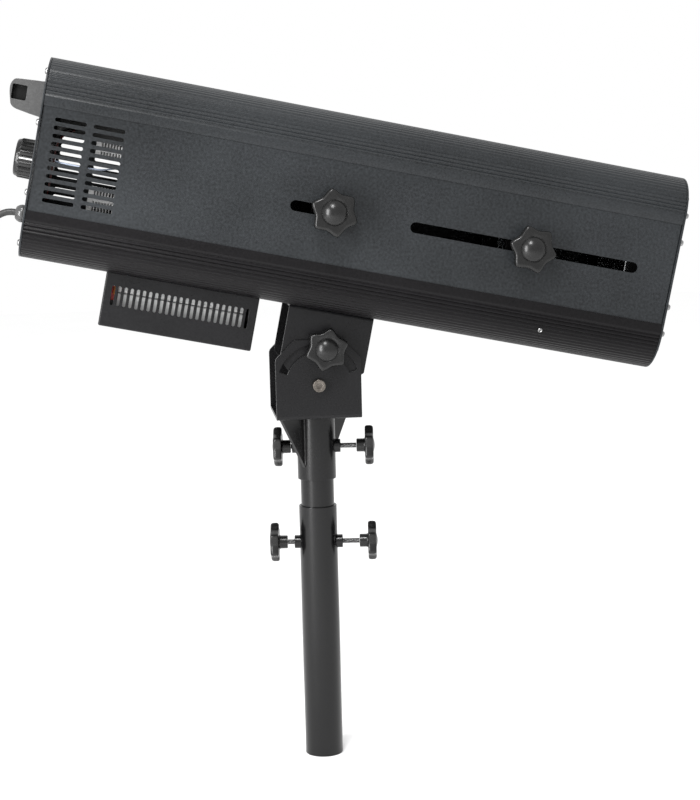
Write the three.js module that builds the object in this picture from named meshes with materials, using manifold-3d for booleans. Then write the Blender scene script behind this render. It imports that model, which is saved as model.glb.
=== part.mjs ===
// Follow spot (ellipsoidal profile spotlight) on a telescopic stand tube.
// Units are millimetres. +Z is up, +X points the way the beam leaves, and Y runs across the head.
// The origin is the centre of the lower tube's foot. The head is drawn in its own frame, whose origin
// is the tilt axis, and is then turned nose-down by HEAD_TILT.
import * as THREE from "three";
import { mergeVertices } from "three/addons/utils/BufferGeometryUtils.js";
import Module from "manifold-3d";

const wasm = await Module();
wasm.setup();

// ---- driving dimensions ----
const GAP = 0.3; // clearance between pieces that touch
const HEAD_TILT = THREE.MathUtils.degToRad(11.9);
const PIVOT_Z = 404.5;

const HEAD_WIDTH = 204;
const HEAD_HEIGHT = 197.2;
const HEAD_REAR = -316;
const HEAD_FRONT = 327;
const AXIS_Z = 176.2; // optical axis above the tilt axis
const PANEL_SHOWN = 102; // height of the side panel between the two extrusions
const CORNER_RADIUS = 38;
const WALL = 2.5;
const LIP = 1.7; // outer lip of the extrusion, in front of the side panel
const PANEL_THICK = 1.5;
const GROOVE_DEPTH = 5;
const RIDGE_PITCH = 3.9;
const RIDGE_COUNT = 14;
const RIDGE_START = 4.1; // along the curve, from its lower end to the first ridge
const RIDGE_RELIEF = 0.8;
const END_PLATE = 2;

const VENT_ROWS = 11;
const VENT_PITCH = 7.82;
const VENT_LENGTH = 30.6;
const VENT_HEIGHT = 3.9;
const VENT_CENTRES = [-287.8, -250.3];
const FOCUS_SLOT = [-65.5, -4.5];
const ZOOM_SLOT = [55.7, 290.6];
const LENS_SLOT_HEIGHT = 10.6;
const FOCUS_X = -23;
const ZOOM_X = 178;

const BOX_REAR = -231;
const BOX_FRONT = -76;
const BOX_HEIGHT = 54;
const BOX_WIDTH = 124;
const BOX_SLOTS = 23;
const BOX_SLOT_PITCH = 6.17;

const BRACKET_WIDTH = 88;
const PLATE = 3;
const YOKE_OUTSIDE = 100; // over the two lower bracket plates
const YOKE_BOTTOM = 369;
const YOKE_SHOULDER = 27.5; // above the tilt axis
const YOKE_TOP = 47;
const LOCK_RADIUS = 38.5;
const LOCK_SLOT = 9;
const LOCK_SLOT_REACH = THREE.MathUtils.degToRad(70);

const TUBE_OUTER = 20;
const TUBE_INNER = 17.8;
const INNER_TUBE = 17.5;
const SLEEVE_BOTTOM = 299.6;
const LOWER_TUBE_TOP = 270.8;
const UPPER_CLAMP_Z = 333.7;
const LOWER_CLAMP_Z = 231;

// The mains lead drops from its gland into a tied coil that hangs from it, and ends in a plug.
const LEAD = 3.5; // radius of the mains lead
const LEAD_RUN = [
  [-296, 0, 586.5], [-302, 0, 587.8], [-307, 0, 588.3], [-312, 0, 587.7], [-317, 0, 585.9],
  [-323, 0.2, 582.2], [-328.5, 0.5, 577], [-333, 1, 570.5], [-336.5, 1.6, 562.5], [-338.8, 2.6, 553.5],
  [-340, 4, 544], [-340.6, 6, 534], [-340.8, 8.8, 524], [-340.6, 12.4, 514.5], [-340.3, 16.6, 505.5],
  [-340.2, 18.6, 501.6],
];
const COIL_X = -351;
const COIL_Z = 452;
const COIL_INNER = 37; // centre of the inner turns
const COIL_OUTER = 44; // centre of the outer turns
const COIL_WIDTH = 29.2;
const LEAD_TAIL = [[-347.4, 44, 423], [-347.4, 43.3, 417], [-347.4, 42.4, 410.5], [-347.4, 42, 404.6]];
const PLUG_AT = [-347.4, 42, 404.3];

// ---- materials ----
const paint = (color, roughness, metalness) =>
  new THREE.MeshStandardMaterial({ color, roughness, metalness });
const coat = () => paint(0x303436, 0.62, 0.25);
const darkCoat = () => paint(0x26282a, 0.6, 0.25);
const plastic = () => paint(0x17181a, 0.32, 0);
const steel = () => paint(0xb9bcc0, 0.3, 1);
const aluminium = () => paint(0xb4b7ba, 0.45, 1);
const glass = () => paint(0xdfe9ee, 0.05, 0);

// ---- solids ----
function solid(geometry) {
  const bare = geometry.clone();
  bare.deleteAttribute("normal");
  bare.deleteAttribute("uv");
  const merged = mergeVertices(bare, 1e-4);
  return new wasm.Manifold(new wasm.Mesh({
    numProp: 3,
    vertProperties: new Float32Array(merged.attributes.position.array),
    triVerts: new Uint32Array(merged.index.array),
  }));
}

function geometryOf(body) {
  const mesh = body.getMesh();
  const geometry = new THREE.BufferGeometry();
  geometry.setAttribute("position", new THREE.BufferAttribute(new Float32Array(mesh.vertProperties), 3));
  geometry.setIndex(new THREE.BufferAttribute(new Uint32Array(mesh.triVerts), 1));
  return geometry;
}

const union = (...list) => geometryOf(list.map(solid).reduce((sum, next) => sum.add(next)));
const cut = (base, ...tools) =>
  geometryOf(tools.map(solid).reduce((rest, tool) => rest.subtract(tool), solid(base)));

const points = (list) => list.map(([x, y]) => new THREE.Vector2(x, y));
const outline = (list) => new THREE.Shape(points(list));

const extrude = (shape, depth) =>
  new THREE.ExtrudeGeometry(shape, { depth, bevelEnabled: false, curveSegments: 6, steps: 1 });

// A shape drawn in X and Z, given a thickness along Y from y0.
function plateXZ(shape, y0, thick) {
  return extrude(shape, thick).rotateX(Math.PI / 2).translate(0, y0 + thick, 0);
}

// A section drawn in Y and Z, run along X from x0.
function sectionYZ(shape, x0, length) {
  const basis = new THREE.Matrix4().makeBasis(
    new THREE.Vector3(0, 1, 0), new THREE.Vector3(0, 0, 1), new THREE.Vector3(1, 0, 0));
  return extrude(shape, length).applyMatrix4(basis).translate(x0, 0, 0);
}

const box = (x0, x1, y0, y1, z0, z1) =>
  new THREE.BoxGeometry(x1 - x0, y1 - y0, z1 - z0).translate((x0 + x1) / 2, (y0 + y1) / 2, (z0 + z1) / 2);

const rodX = (x0, x1, r, sides = 20) =>
  new THREE.CylinderGeometry(r, r, x1 - x0, sides).rotateZ(Math.PI / 2).translate((x0 + x1) / 2, 0, 0);

const rodY = (y0, y1, r, sides = 20) =>
  new THREE.CylinderGeometry(r, r, y1 - y0, sides).translate(0, (y0 + y1) / 2, 0);

const rodZ = (z0, z1, r, sides = 32) =>
  new THREE.CylinderGeometry(r, r, z1 - z0, sides).rotateX(Math.PI / 2).translate(0, 0, (z0 + z1) / 2);

// A turned body: profile points are [radius, height], turned about Z.
const turned = (profile, sides = 32) =>
  new THREE.LatheGeometry(points(profile), sides).rotateX(Math.PI / 2);

const alongX = (geometry) => geometry.rotateY(Math.PI / 2);
const alongMinusY = (geometry) => geometry.rotateX(Math.PI / 2);

function roundedRect(width, height, radius, steps = 6) {
  const list = [];
  const corners = [[1, 1, 0], [-1, 1, 1], [-1, -1, 2], [1, -1, 3]];
  for (const [sx, sy, quarter] of corners) {
    for (let i = 0; i <= steps; i++) {
      const a = (quarter + i / steps) * Math.PI / 2;
      const x = sx * (width / 2 - radius) + radius * Math.cos(a);
      list.push([x, sy * (height / 2 - radius) + radius * Math.sin(a)]);
    }
  }
  return list;
}

// A long hole with round ends, centred on (x, y).
function longHole(x, y, length, height, steps = 3) {
  const list = [];
  const r = height / 2;
  for (let end = 0; end < 2; end++) {
    const along = (length / 2 - r) * (end === 0 ? 1 : -1);
    for (let i = 0; i <= steps; i++) {
      const a = -Math.PI / 2 + end * Math.PI + (i / steps) * Math.PI;
      const px = along + r * Math.cos(a);
      const py = r * Math.sin(a);
      list.push([x + px, y + py]);
    }
  }
  return new THREE.Path(points(list));
}

function roundHole(x, y, radius, sides = 16) {
  const list = [];
  for (let i = 0; i < sides; i++) {
    const a = (i / sides) * Math.PI * 2;
    list.push([x + radius * Math.cos(a), y + radius * Math.sin(a)]);
  }
  return new THREE.Path(points(list));
}

function ring(outer, inner, thick, sides = 48) {
  return turned([[inner, 0], [outer, 0], [outer, thick], [inner, thick], [inner, 0]], sides);
}

// ---- the scene graph ----
const part = new THREE.Group();
const stand = new THREE.Group();
const yoke = new THREE.Group();
const head = new THREE.Group();
head.position.set(0, 0, PIVOT_Z);
head.rotation.y = HEAD_TILT;
part.add(stand, yoke, head);

function add(group, name, geometry, material) {
  const mesh = new THREE.Mesh(geometry, material);
  mesh.name = name;
  group.add(mesh);
  return mesh;
}

// ---- star grips ----
// Seven grips share one shape: a scalloped disc, a hub under it and a domed cap, on the Z axis.
function starGrip(reach, discThick, hubRadius, hubLength, domeRadius, domeHeight, turnDegrees, lobes = 6) {
  const list = [];
  const count = lobes * 6;
  const scallop = reach * 0.2;
  for (let i = 0; i < count; i++) {
    const a = (i / count) * Math.PI * 2;
    const r = reach - scallop * Math.pow(Math.abs(Math.sin(lobes * a / 2)), 1.3);
    const turnedTo = a + THREE.MathUtils.degToRad(turnDegrees);
    list.push([r * Math.cos(turnedTo), r * Math.sin(turnedTo)]);
  }
  const disc = extrude(outline(list), discThick).translate(0, 0, hubLength);
  const hub = rodZ(0, hubLength + discThick / 2, hubRadius, 16);
  const top = hubLength + discThick;
  const dome = [[0, top - discThick / 2], [domeRadius, top - discThick / 2], [domeRadius, top]];
  for (let i = 1; i <= 4; i++) {
    const a = (i / 4) * Math.PI / 2;
    dome.push([i === 4 ? 0 : domeRadius * Math.cos(a), top + domeHeight * Math.sin(a)]);
  }
  return union(disc, hub, turned(dome, 16));
}

// ---- head shell ----
const halfWidth = HEAD_WIDTH / 2;
const halfHeight = HEAD_HEIGHT / 2;
const seamZ = PANEL_SHOWN / 2;
const arcY = halfWidth - CORNER_RADIUS;
const arcZ = halfHeight - CORNER_RADIUS;
const headLength = HEAD_FRONT - HEAD_REAR;

// One side of the section, from the seam to the flat top, on the +Y side.
function outerSide() {
  const list = [[halfWidth, seamZ], [halfWidth, arcZ]];
  const at = (along, radius) => {
    const a = along / CORNER_RADIUS;
    return [arcY + radius * Math.cos(a), arcZ + radius * Math.sin(a)];
  };
  for (let i = 0; i < RIDGE_COUNT; i++) {
    const s = RIDGE_START + i * RIDGE_PITCH;
    list.push(at(s - 1.15, CORNER_RADIUS - RIDGE_RELIEF));
    list.push(at(s - 0.75, CORNER_RADIUS));
    list.push(at(s + 0.75, CORNER_RADIUS));
    list.push(at(s + 1.15, CORNER_RADIUS - RIDGE_RELIEF));
  }
  list.push([arcY, halfHeight]);
  return list;
}

function innerSide() {
  const lipInner = halfWidth - LIP;
  const grooveInner = lipInner - PANEL_THICK - 2 * GAP;
  const leg = grooveInner - 2;
  const inside = CORNER_RADIUS - WALL;
  const list = [[lipInner, seamZ], [lipInner, seamZ + GROOVE_DEPTH], [grooveInner, seamZ + GROOVE_DEPTH]];
  list.push([grooveInner, seamZ], [leg, seamZ], [leg, arcZ + 3.4]);
  const first = Math.asin(3.4 / inside);
  for (let i = 0; i <= 8; i++) {
    const a = first + (i / 8) * (Math.PI / 2 - first);
    list.push([arcY + inside * Math.cos(a), arcZ + inside * Math.sin(a)]);
  }
  return list;
}

function shellSection() {
  const mirror = (list) => list.map(([y, z]) => [-y, z]).reverse();
  const outer = outerSide();
  const inner = innerSide();
  return outline([...outer, ...mirror(outer), ...mirror(inner).reverse(), ...inner.reverse()]);
}

const shell = () => sectionYZ(shellSection(), HEAD_REAR, headLength);
add(head, "top_extrusion", shell().translate(0, 0, AXIS_Z), coat());
add(head, "bottom_extrusion", shell().rotateX(Math.PI).translate(0, 0, AXIS_Z), darkCoat());

function sidePanel(slots) {
  const x0 = HEAD_REAR + GAP;
  const x1 = HEAD_FRONT - GAP;
  const z = seamZ + GROOVE_DEPTH - GAP;
  const shape = outline([[x0, -z], [x1, -z], [x1, z], [x0, z]]);
  for (const x of VENT_CENTRES) {
    for (let row = 0; row < VENT_ROWS; row++) {
      const rise = (row - (VENT_ROWS - 1) / 2) * VENT_PITCH;
      shape.holes.push(longHole(x, rise + 0.5, VENT_LENGTH, VENT_HEIGHT, 2));
    }
  }
  for (const [a, b] of slots) {
    shape.holes.push(longHole((a + b) / 2, 0, b - a, LENS_SLOT_HEIGHT, 5));
  }
  return shape;
}

const panelY = halfWidth - LIP - GAP;
add(head, "near_side_panel",
  plateXZ(sidePanel([FOCUS_SLOT, ZOOM_SLOT]), -panelY, PANEL_THICK).translate(0, 0, AXIS_Z), coat());
add(head, "far_side_panel",
  plateXZ(sidePanel([]), panelY - PANEL_THICK, PANEL_THICK).translate(0, 0, AXIS_Z), coat());

// ---- end plates ----
const FAN_SIZE = 92;
const GLAND_Z = 117 - AXIS_Z;
const DIMMER_Z = -3.5;
const HANDLE_Z = 56.5;
const HANDLE_REACH = 58;

function frontPlate() {
  const shape = outline(roundedRect(HEAD_WIDTH, HEAD_HEIGHT, CORNER_RADIUS));
  shape.holes.push(roundHole(0, 0, 71, 40));
  return sectionYZ(shape, HEAD_FRONT + GAP, END_PLATE);
}

function rearPlate() {
  const shape = outline(roundedRect(HEAD_WIDTH, HEAD_HEIGHT, CORNER_RADIUS));
  shape.holes.push(roundHole(0, GLAND_Z, 8.2, 16));
  shape.holes.push(roundHole(0, DIMMER_Z, 4, 12));
  for (const side of [-1, 1]) {
    for (let row = 0; row < 7; row++) {
      shape.holes.push(longHole(side * 50, (row - 3) * 9 - 3, 44, 4.5, 2));
    }
  }
  return sectionYZ(shape, HEAD_REAR - GAP - END_PLATE, END_PLATE);
}

add(head, "front_plate", frontPlate().translate(0, 0, AXIS_Z), coat());
add(head, "rear_plate", rearPlate().translate(0, 0, AXIS_Z), coat());

const SNOUT_REAR = 291;
const frontFace = HEAD_FRONT + GAP + END_PLATE;
const rearFace = HEAD_REAR - GAP - END_PLATE;
const headAxis = (geometry) => geometry.translate(0, 0, AXIS_Z);

// The bezel's snout passes through the front plate, holds the window and runs back inside as a light baffle.
function bezel() {
  const face = frontFace + GAP;
  const back = SNOUT_REAR - face;
  const profile = [[66, back], [70.4, back], [70.4, 0], [79, 0], [79, 2.2], [77.5, 3.5], [69, 3.5], [66, 1],
    [66, back]];
  return alongX(turned(profile, 36)).translate(face, 0, 0);
}
add(head, "front_bezel", headAxis(bezel()), plastic());
add(head, "front_window", headAxis(rodX(frontFace - 7, frontFace - 4, 65.6, 36)), glass());

// ---- rear fittings ----
// The pull handle runs across the head: two feet on the rear plate and a grip bar between them. Each end
// has a square pocket for its screw.
function rearHandle() {
  const foot = rearFace - GAP;
  const side = [[0, -17], [0, 18.2], [-31.4, 16], [-34.9, 10.3], [-34.9, 3.4], [-31.8, -10.2], [-27, -13.2]];
  const body = plateXZ(outline(side.map(([x, z]) => [foot + x, z])), -HANDLE_REACH, 2 * HANDLE_REACH);
  const fingers = box(foot - 20, foot + 5, -44, 44, -30, 30);
  const pocket = (y0, y1) => box(foot - 32.4, foot - 18, y0, y1, -4, 10.6);
  const deep = HANDLE_REACH - 8;
  return cut(body, fingers, pocket(-HANDLE_REACH - 5, -deep), pocket(deep, HANDLE_REACH + 5))
    .translate(0, 0, HANDLE_Z);
}
add(head, "rear_handle", headAxis(rearHandle()), plastic());

function cableGland() {
  const flange = rearFace - GAP;
  const list = [];
  for (let i = 0; i < 6; i++) {
    const a = (i / 6) * Math.PI * 2;
    list.push([10.6 * Math.cos(a), 10.6 * Math.sin(a)]);
  }
  const nut = extrude(outline(list), 6);
  const dome = turned([[0, 5], [9.4, 5], [9.4, 8], [8.2, 11.5], [5.6, 14], [0, 14]], 20);
  const neck = rodZ(-9, 1, 7.8, 16);
  const bore = rodZ(6, 20, LEAD + GAP, 16);
  const back = (geometry) => geometry.rotateY(-Math.PI / 2);
  return cut(union(back(nut), back(dome), back(neck)), back(bore)).translate(flange, 0, GLAND_Z);
}
add(head, "cable_gland", headAxis(cableGland()), plastic());

function flutedKnob(radius, length, flutes) {
  const list = [];
  const count = flutes * 4;
  for (let i = 0; i < count; i++) {
    const a = (i / count) * Math.PI * 2;
    const r = i % 4 === 0 ? radius - 1.2 : radius;
    list.push([r * Math.cos(a), r * Math.sin(a)]);
  }
  const skirt = extrude(outline(list), length - 4);
  const cap = turned([[0, length - 5], [radius - 2, length - 5], [radius - 2, length - 1.5],
    [radius - 4, length], [0, length]], 24);
  return cut(union(skirt, cap), rodZ(-1, 9, 3.2, 12));
}
const dimmerKnob = flutedKnob(20.5, 21, 18).rotateY(-Math.PI / 2).translate(rearFace - 2.4, 0, DIMMER_Z);
add(head, "dimmer_knob", headAxis(dimmerKnob), plastic());
const dimmerShaft = rodX(rearFace - 9, HEAD_REAR + 12, 3, 12);
const dimmerBody = union(dimmerShaft, box(HEAD_REAR + 2, HEAD_REAR + 14, -8, 8, -8, 8));
add(head, "dimmer_control", headAxis(dimmerBody.translate(0, 0, DIMMER_Z)), steel());

// ---- fan ----
// It lies flat above the fin stacks and blows down through them.
const FAN_X = -257;
const FAN_LOW = 27.6;
const FAN_DEPTH = 25;
const fanPlace = (geometry) => headAxis(geometry.translate(FAN_X, 0, FAN_LOW));
function fanFrame() {
  const shape = outline(roundedRect(FAN_SIZE, FAN_SIZE, 6, 3));
  shape.holes.push(roundHole(0, 0, 43.5, 32));
  const arms = [0, 1].map((i) =>
    box(-44, 44, -2, 2, FAN_DEPTH - 3, FAN_DEPTH).rotateZ(Math.PI / 4 + i * Math.PI / 2));
  return union(extrude(shape, FAN_DEPTH), ...arms, rodZ(FAN_DEPTH - 4, FAN_DEPTH, 17, 20));
}
function fanRotor() {
  const high = FAN_DEPTH - 4.7;
  const parts = [rodZ(1, high, 16, 20)];
  for (let i = 0; i < 7; i++) {
    const blade = box(14, 41.5, -1, 1, -8.4, 8.4).rotateX(Math.PI / 3.6).translate(0, 0, high - 9.5);
    parts.push(blade.rotateZ((i / 7) * Math.PI * 2));
  }
  return union(...parts);
}
add(head, "fan_frame", fanPlace(fanFrame()), plastic());
add(head, "fan_rotor", fanPlace(fanRotor()), plastic());

// ---- light engine ----
const SINK_REAR = -262;
const SINK_FRONT = -196;
const FIN = 1.1;
// Fins above and below a middle plate, behind a thick end block.
function finStack(reach) {
  const list = [];
  const fins = 20;
  const first = SINK_REAR + 7;
  const pitch = (SINK_FRONT - FIN - first) / (fins - 1);
  const half = 1.6;
  const starts = [SINK_REAR];
  const widths = [5.5];
  for (let i = 0; i < fins; i++) {
    starts.push(first + i * pitch);
    widths.push(FIN);
  }
  for (let i = 0; i <= fins; i++) {
    const end = starts[i] + widths[i];
    list.push([starts[i], half], [starts[i], reach], [end, reach], [end, half]);
  }
  for (let i = fins; i >= 0; i--) {
    const end = starts[i] + widths[i];
    list.push([end, -half], [end, -reach], [starts[i], -reach], [starts[i], -half]);
  }
  return plateXZ(outline(list), -48, 96);
}
add(head, "upper_fin_stack", headAxis(finStack(8).translate(0, 0, 19)), aluminium());
add(head, "lower_fin_stack", headAxis(finStack(11.5).translate(0, 0, -31)), aluminium());
const baseX = SINK_FRONT + GAP;
add(head, "led_base", headAxis(box(baseX, baseX + 8, -50, 50, -45, 45)), aluminium());
const ledBoard = union(box(baseX + 8.3, baseX + 10.3, -20, 20, -20, 20), rodX(baseX + 9, baseX + 12, 12, 24));
add(head, "led_module", headAxis(ledBoard), paint(0xe6d9a8, 0.5, 0));

function reflector() {
  const profile = [[14, 0], [46, 52], [52, 52], [52, 55], [43.5, 55], [11.5, 0], [14, 0]];
  return alongX(turned(profile, 32)).translate(baseX + 13, 0, 0);
}
add(head, "reflector", headAxis(reflector()), paint(0xd0d4d8, 0.12, 1));

function gatePlate() {
  const shape = outline([[-94, -50], [94, -50], [94, 50], [-94, 50]]);
  shape.holes.push(roundHole(0, 0, 30, 32));
  return sectionYZ(shape, -118, 3);
}
add(head, "gate_plate", headAxis(gatePlate()), darkCoat());

// ---- lens carriages ----
const GUIDE_Y = 84;
for (const [name, y] of [["near_guide_rod", -GUIDE_Y], ["far_guide_rod", GUIDE_Y]]) {
  add(head, name, headAxis(rodX(-114.5, HEAD_FRONT - 12, 4, 12).translate(0, y, -30)), steel());
}

// A ring that slides on both guide rods by its ears, with a boss on the near side for its clamping grip.
// It lies mostly behind the grip, so it stays clear of the snout at the front of its travel.
function carriage(lensRadius) {
  const rim = lensRadius + 7;
  const holder = alongX(ring(rim, lensRadius + GAP, 22, 28)).translate(-18, 0, 0);
  const ear = (side) => box(-10, 4, Math.min(side * 46, side * 92), Math.max(side * 46, side * 92), -37, -23);
  const boss = box(-8, 4, -95.2, -lensRadius - 3, -8, 8);
  const bore = rodX(-40, 40, lensRadius + GAP, 28);
  const guides = [-1, 1].map((side) => rodX(-20, 20, 4.4, 12).translate(0, side * GUIDE_Y, -30));
  return cut(union(holder, ear(-1), ear(1), boss), bore, ...guides, rodY(-97, -78, 4, 12));
}

// A plano-convex lens, turned about X, its flat face to the rear.
function lens(radius, edge, crown) {
  const profile = [[0, -edge / 2], [radius, -edge / 2], [radius, edge / 2]];
  for (let i = 1; i <= 3; i++) {
    const r = radius * (1 - i / 3);
    profile.push([r, edge / 2 + crown * (1 - (r / radius) ** 2)]);
  }
  return alongX(turned(profile, 28));
}

const GRIP_BASE = -(halfWidth + 1.2);
function gripStud(reachIn) {
  return rodY(GRIP_BASE - 0.2 + GAP, reachIn, 3.7, 12);
}
function panelGrip(turnDegrees) {
  return alongMinusY(starGrip(24.2, 9, 9, 9, 12.2, 6, turnDegrees)).translate(0, GRIP_BASE, 0);
}

for (const [name, x, radius, crown, gripTurn] of [
  ["focus", FOCUS_X, 52, 9, 47],
  ["zoom", ZOOM_X, 62, 12, 54],
]) {
  const place = (geometry) => headAxis(geometry.translate(x, 0, 0));
  add(head, `${name}_carriage`, place(carriage(radius)), darkCoat());
  add(head, `${name}_lens`, place(lens(radius, 5, crown)), glass());
  add(head, `${name}_grip`, place(panelGrip(gripTurn)), plastic());
  add(head, `${name}_stud`, place(gripStud(-83)), steel());
}

// ---- driver box under the head ----
const undersideZ = AXIS_Z - halfHeight;
function driverBox() {
  const top = undersideZ - GAP;
  const z0 = top - BOX_HEIGHT;
  const y = BOX_WIDTH / 2;
  const outer = box(BOX_REAR, BOX_FRONT, -y, y, z0, top);
  const inner = box(BOX_REAR + 1.5, BOX_FRONT - 1.5, 1.5 - y, y - 1.5, z0 + 1.5, top + 5);
  const middle = (BOX_REAR + BOX_FRONT) / 2;
  const tools = [];
  for (let i = 0; i < BOX_SLOTS; i++) {
    const x = middle + (i - (BOX_SLOTS - 1) / 2) * BOX_SLOT_PITCH;
    tools.push(box(x - 1.55, x + 1.55, -y - 5, y + 5, z0 + 22, z0 + 42));
  }
  return cut(outer, inner, ...tools);
}
add(head, "driver_box", driverBox(), darkCoat());
const driverTop = undersideZ - 6;
const driverUnit = box(BOX_REAR + 14, BOX_FRONT - 10, -46, 46, driverTop - 40, driverTop);
const terminalBlock = box(BOX_REAR + 4, BOX_REAR + 12, -50, -18, driverTop - 38, driverTop - 14);
add(head, "driver_unit", driverUnit, paint(0xb9bbbd, 0.5, 0.6));
add(head, "terminal_block", terminalBlock, paint(0xb22a22, 0.5, 0));

// ---- upper bracket, turning with the head ----
const legOuter = YOKE_OUTSIDE / 2 - PLATE - GAP;
function upperBracket() {
  const half = BRACKET_WIDTH / 2;
  const top = undersideZ - GAP;
  const foot = 14;
  const side = [[-half, top], [-half, 20]];
  for (let i = 0; i <= 8; i++) {
    const a = Math.PI + (i / 8) * Math.PI;
    side.push([24 * Math.cos(a), -foot + 24 + 24 * Math.sin(a) - 10]);
  }
  side.push([half, 20], [half, top]);
  const block = plateXZ(outline(side), -legOuter, 2 * legOuter);
  const hollow = box(-half - 5, half + 5, -legOuter + PLATE, legOuter - PLATE, -60, top - PLATE);
  const bolt = rodY(-60, 60, 4.3, 16);
  const lock = rodY(-60, 0, 4.3, 16).translate(0, 0, LOCK_RADIUS);
  return cut(block, hollow, bolt, lock);
}
add(head, "upper_bracket", upperBracket(), darkCoat());

const yokeFace = -YOKE_OUTSIDE / 2;
add(head, "tilt_lock_grip",
  alongMinusY(starGrip(22.5, 9, 8.5, 6, 11.5, 5.5, 28)).translate(0, yokeFace - 2, LOCK_RADIUS), plastic());
add(head, "tilt_lock_stud",
  rodY(yokeFace - 2 + GAP, -legOuter + 8, 4, 12).translate(0, 0, LOCK_RADIUS), steel());

// ---- screws in the front plate ----
function capScrew(radius, height) {
  const dome = [[0, 0], [radius, 0]];
  for (let i = 1; i <= 3; i++) {
    const a = (i / 3) * Math.PI / 2;
    dome.push([i === 3 ? 0 : radius * Math.cos(a), height * Math.sin(a)]);
  }
  return turned(dome, 12);
}
const cornerY = halfWidth - 5;
const cornerZ = 33;
const corners = [["near_top", -1, 1], ["far_top", 1, 1], ["near_bottom", -1, -1], ["far_bottom", 1, -1]];
for (const [where, sy, sz] of corners) {
  const y = sy * cornerY;
  const z = sz * cornerZ;
  add(head, `front_screw_${where}`,
    headAxis(capScrew(3.2, 3).rotateY(Math.PI / 2).translate(frontFace + GAP, y, z)), steel());
}

// ---- lower bracket ----
function lowerBracket() {
  const half = BRACKET_WIDTH / 2;
  const shoulder = PIVOT_Z + YOKE_SHOULDER;
  const top = PIVOT_Z + YOKE_TOP;
  const chamfer = top - shoulder;
  const side = outline([[-half, YOKE_BOTTOM], [half, YOKE_BOTTOM], [half, shoulder], [half - chamfer, top],
    [chamfer - half, top], [-half, shoulder]]);
  const block = plateXZ(side, -YOKE_OUTSIDE / 2, YOKE_OUTSIDE);
  const inside = YOKE_OUTSIDE / 2 - PLATE;
  const hollow = box(-half - 5, half + 5, -inside, inside, YOKE_BOTTOM + PLATE, top + 5);
  const arc = [];
  const steps = 16;
  for (let i = 0; i <= steps; i++) {
    const a = -LOCK_SLOT_REACH + (i / steps) * 2 * LOCK_SLOT_REACH;
    arc.push([(LOCK_RADIUS + LOCK_SLOT / 2) * Math.sin(a), (LOCK_RADIUS + LOCK_SLOT / 2) * Math.cos(a)]);
  }
  for (let i = steps; i >= 0; i--) {
    const a = -LOCK_SLOT_REACH + (i / steps) * 2 * LOCK_SLOT_REACH;
    arc.push([(LOCK_RADIUS - LOCK_SLOT / 2) * Math.sin(a), (LOCK_RADIUS - LOCK_SLOT / 2) * Math.cos(a)]);
  }
  const slot = plateXZ(outline(arc), -70, 60).translate(0, 0, PIVOT_Z);
  const bolt = rodY(-70, 70, 4.3, 16).translate(0, 0, PIVOT_Z);
  return cut(block, hollow, slot, bolt);
}
add(yoke, "lower_bracket", lowerBracket(), darkCoat());

const SHOULDER_Y = YOKE_OUTSIDE / 2;
const boltHead = rodY(-SHOULDER_Y - 7.3, -SHOULDER_Y - GAP, 6.6, 24);
const pivotBolt = union(boltHead, rodY(-SHOULDER_Y - 1, SHOULDER_Y + 9, 4, 16));
add(yoke, "pivot_bolt", pivotBolt.translate(0, 0, PIVOT_Z), steel());
const nutCorners = [0, 1, 2, 3, 4, 5].map((i) => i * Math.PI / 3);
const nutShape = outline(nutCorners.map((a) => [7.4 * Math.cos(a), 7.4 * Math.sin(a)]));
nutShape.holes.push(roundHole(0, 0, 4.3, 16));
add(yoke, "pivot_nut", plateXZ(nutShape, SHOULDER_Y + GAP, 6.5).translate(0, 0, PIVOT_Z), steel());

// ---- socket sleeve with its gussets and threaded bosses ----
// The clamp screws stand a few degrees off square to the head, all four on one line of the tubes.
const CLAMP_TURN = THREE.MathUtils.degToRad(-7);
function bossRod(side, z, reach) {
  const rod = side > 0 ? rodX(18.6, 25.6, reach, 20) : rodX(-25.6, -18.6, reach, 20);
  return rod.rotateZ(CLAMP_TURN).translate(0, 0, z);
}
function gusset(turn) {
  const z1 = YOKE_BOTTOM - GAP;
  const shape = outline([[18.8, z1], [56, z1], [54, z1 - 3], [20, 313], [18.8, 313]]);
  return plateXZ(shape, -1.75, 3.5).rotateZ(turn);
}
function sleeve() {
  const tube = rodZ(SLEEVE_BOTTOM, YOKE_BOTTOM - GAP, TUBE_OUTER + 0.2, 40);
  const bore = rodZ(SLEEVE_BOTTOM - 5, YOKE_BOTTOM + 5, TUBE_INNER, 40);
  const body = union(tube, bossRod(1, UPPER_CLAMP_Z, 7), bossRod(-1, UPPER_CLAMP_Z, 7),
    gusset(-Math.PI * 0.75), gusset(Math.PI * 0.25));
  return cut(body, bore, rodX(-60, 60, 3.4, 12).rotateZ(CLAMP_TURN).translate(0, 0, UPPER_CLAMP_Z));
}
add(yoke, "socket_sleeve", sleeve(), darkCoat());

// ---- tubes ----
function tube(z0, z1, outer, inner) {
  return cut(rodZ(z0, z1, outer, 40), rodZ(z0 - 5, z1 + 5, inner, 40));
}
add(stand, "inner_tube", tube(45, YOKE_BOTTOM - 1.2, INNER_TUBE, INNER_TUBE - 1.6), darkCoat());
function lowerTube() {
  const bosses = [-1, 1].map((side) => bossRod(side, LOWER_CLAMP_Z, 7));
  const bore = rodZ(-5, LOWER_TUBE_TOP + 5, TUBE_INNER, 40);
  const threads = rodX(-60, 60, 3.4, 12).rotateZ(CLAMP_TURN).translate(0, 0, LOWER_CLAMP_Z);
  return cut(union(rodZ(0, LOWER_TUBE_TOP, TUBE_OUTER, 40), ...bosses), bore, threads);
}
add(stand, "lower_tube", lowerTube(), darkCoat());
add(stand, "foot_plug", rodZ(0, 14, TUBE_INNER - GAP, 40), plastic());

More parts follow.
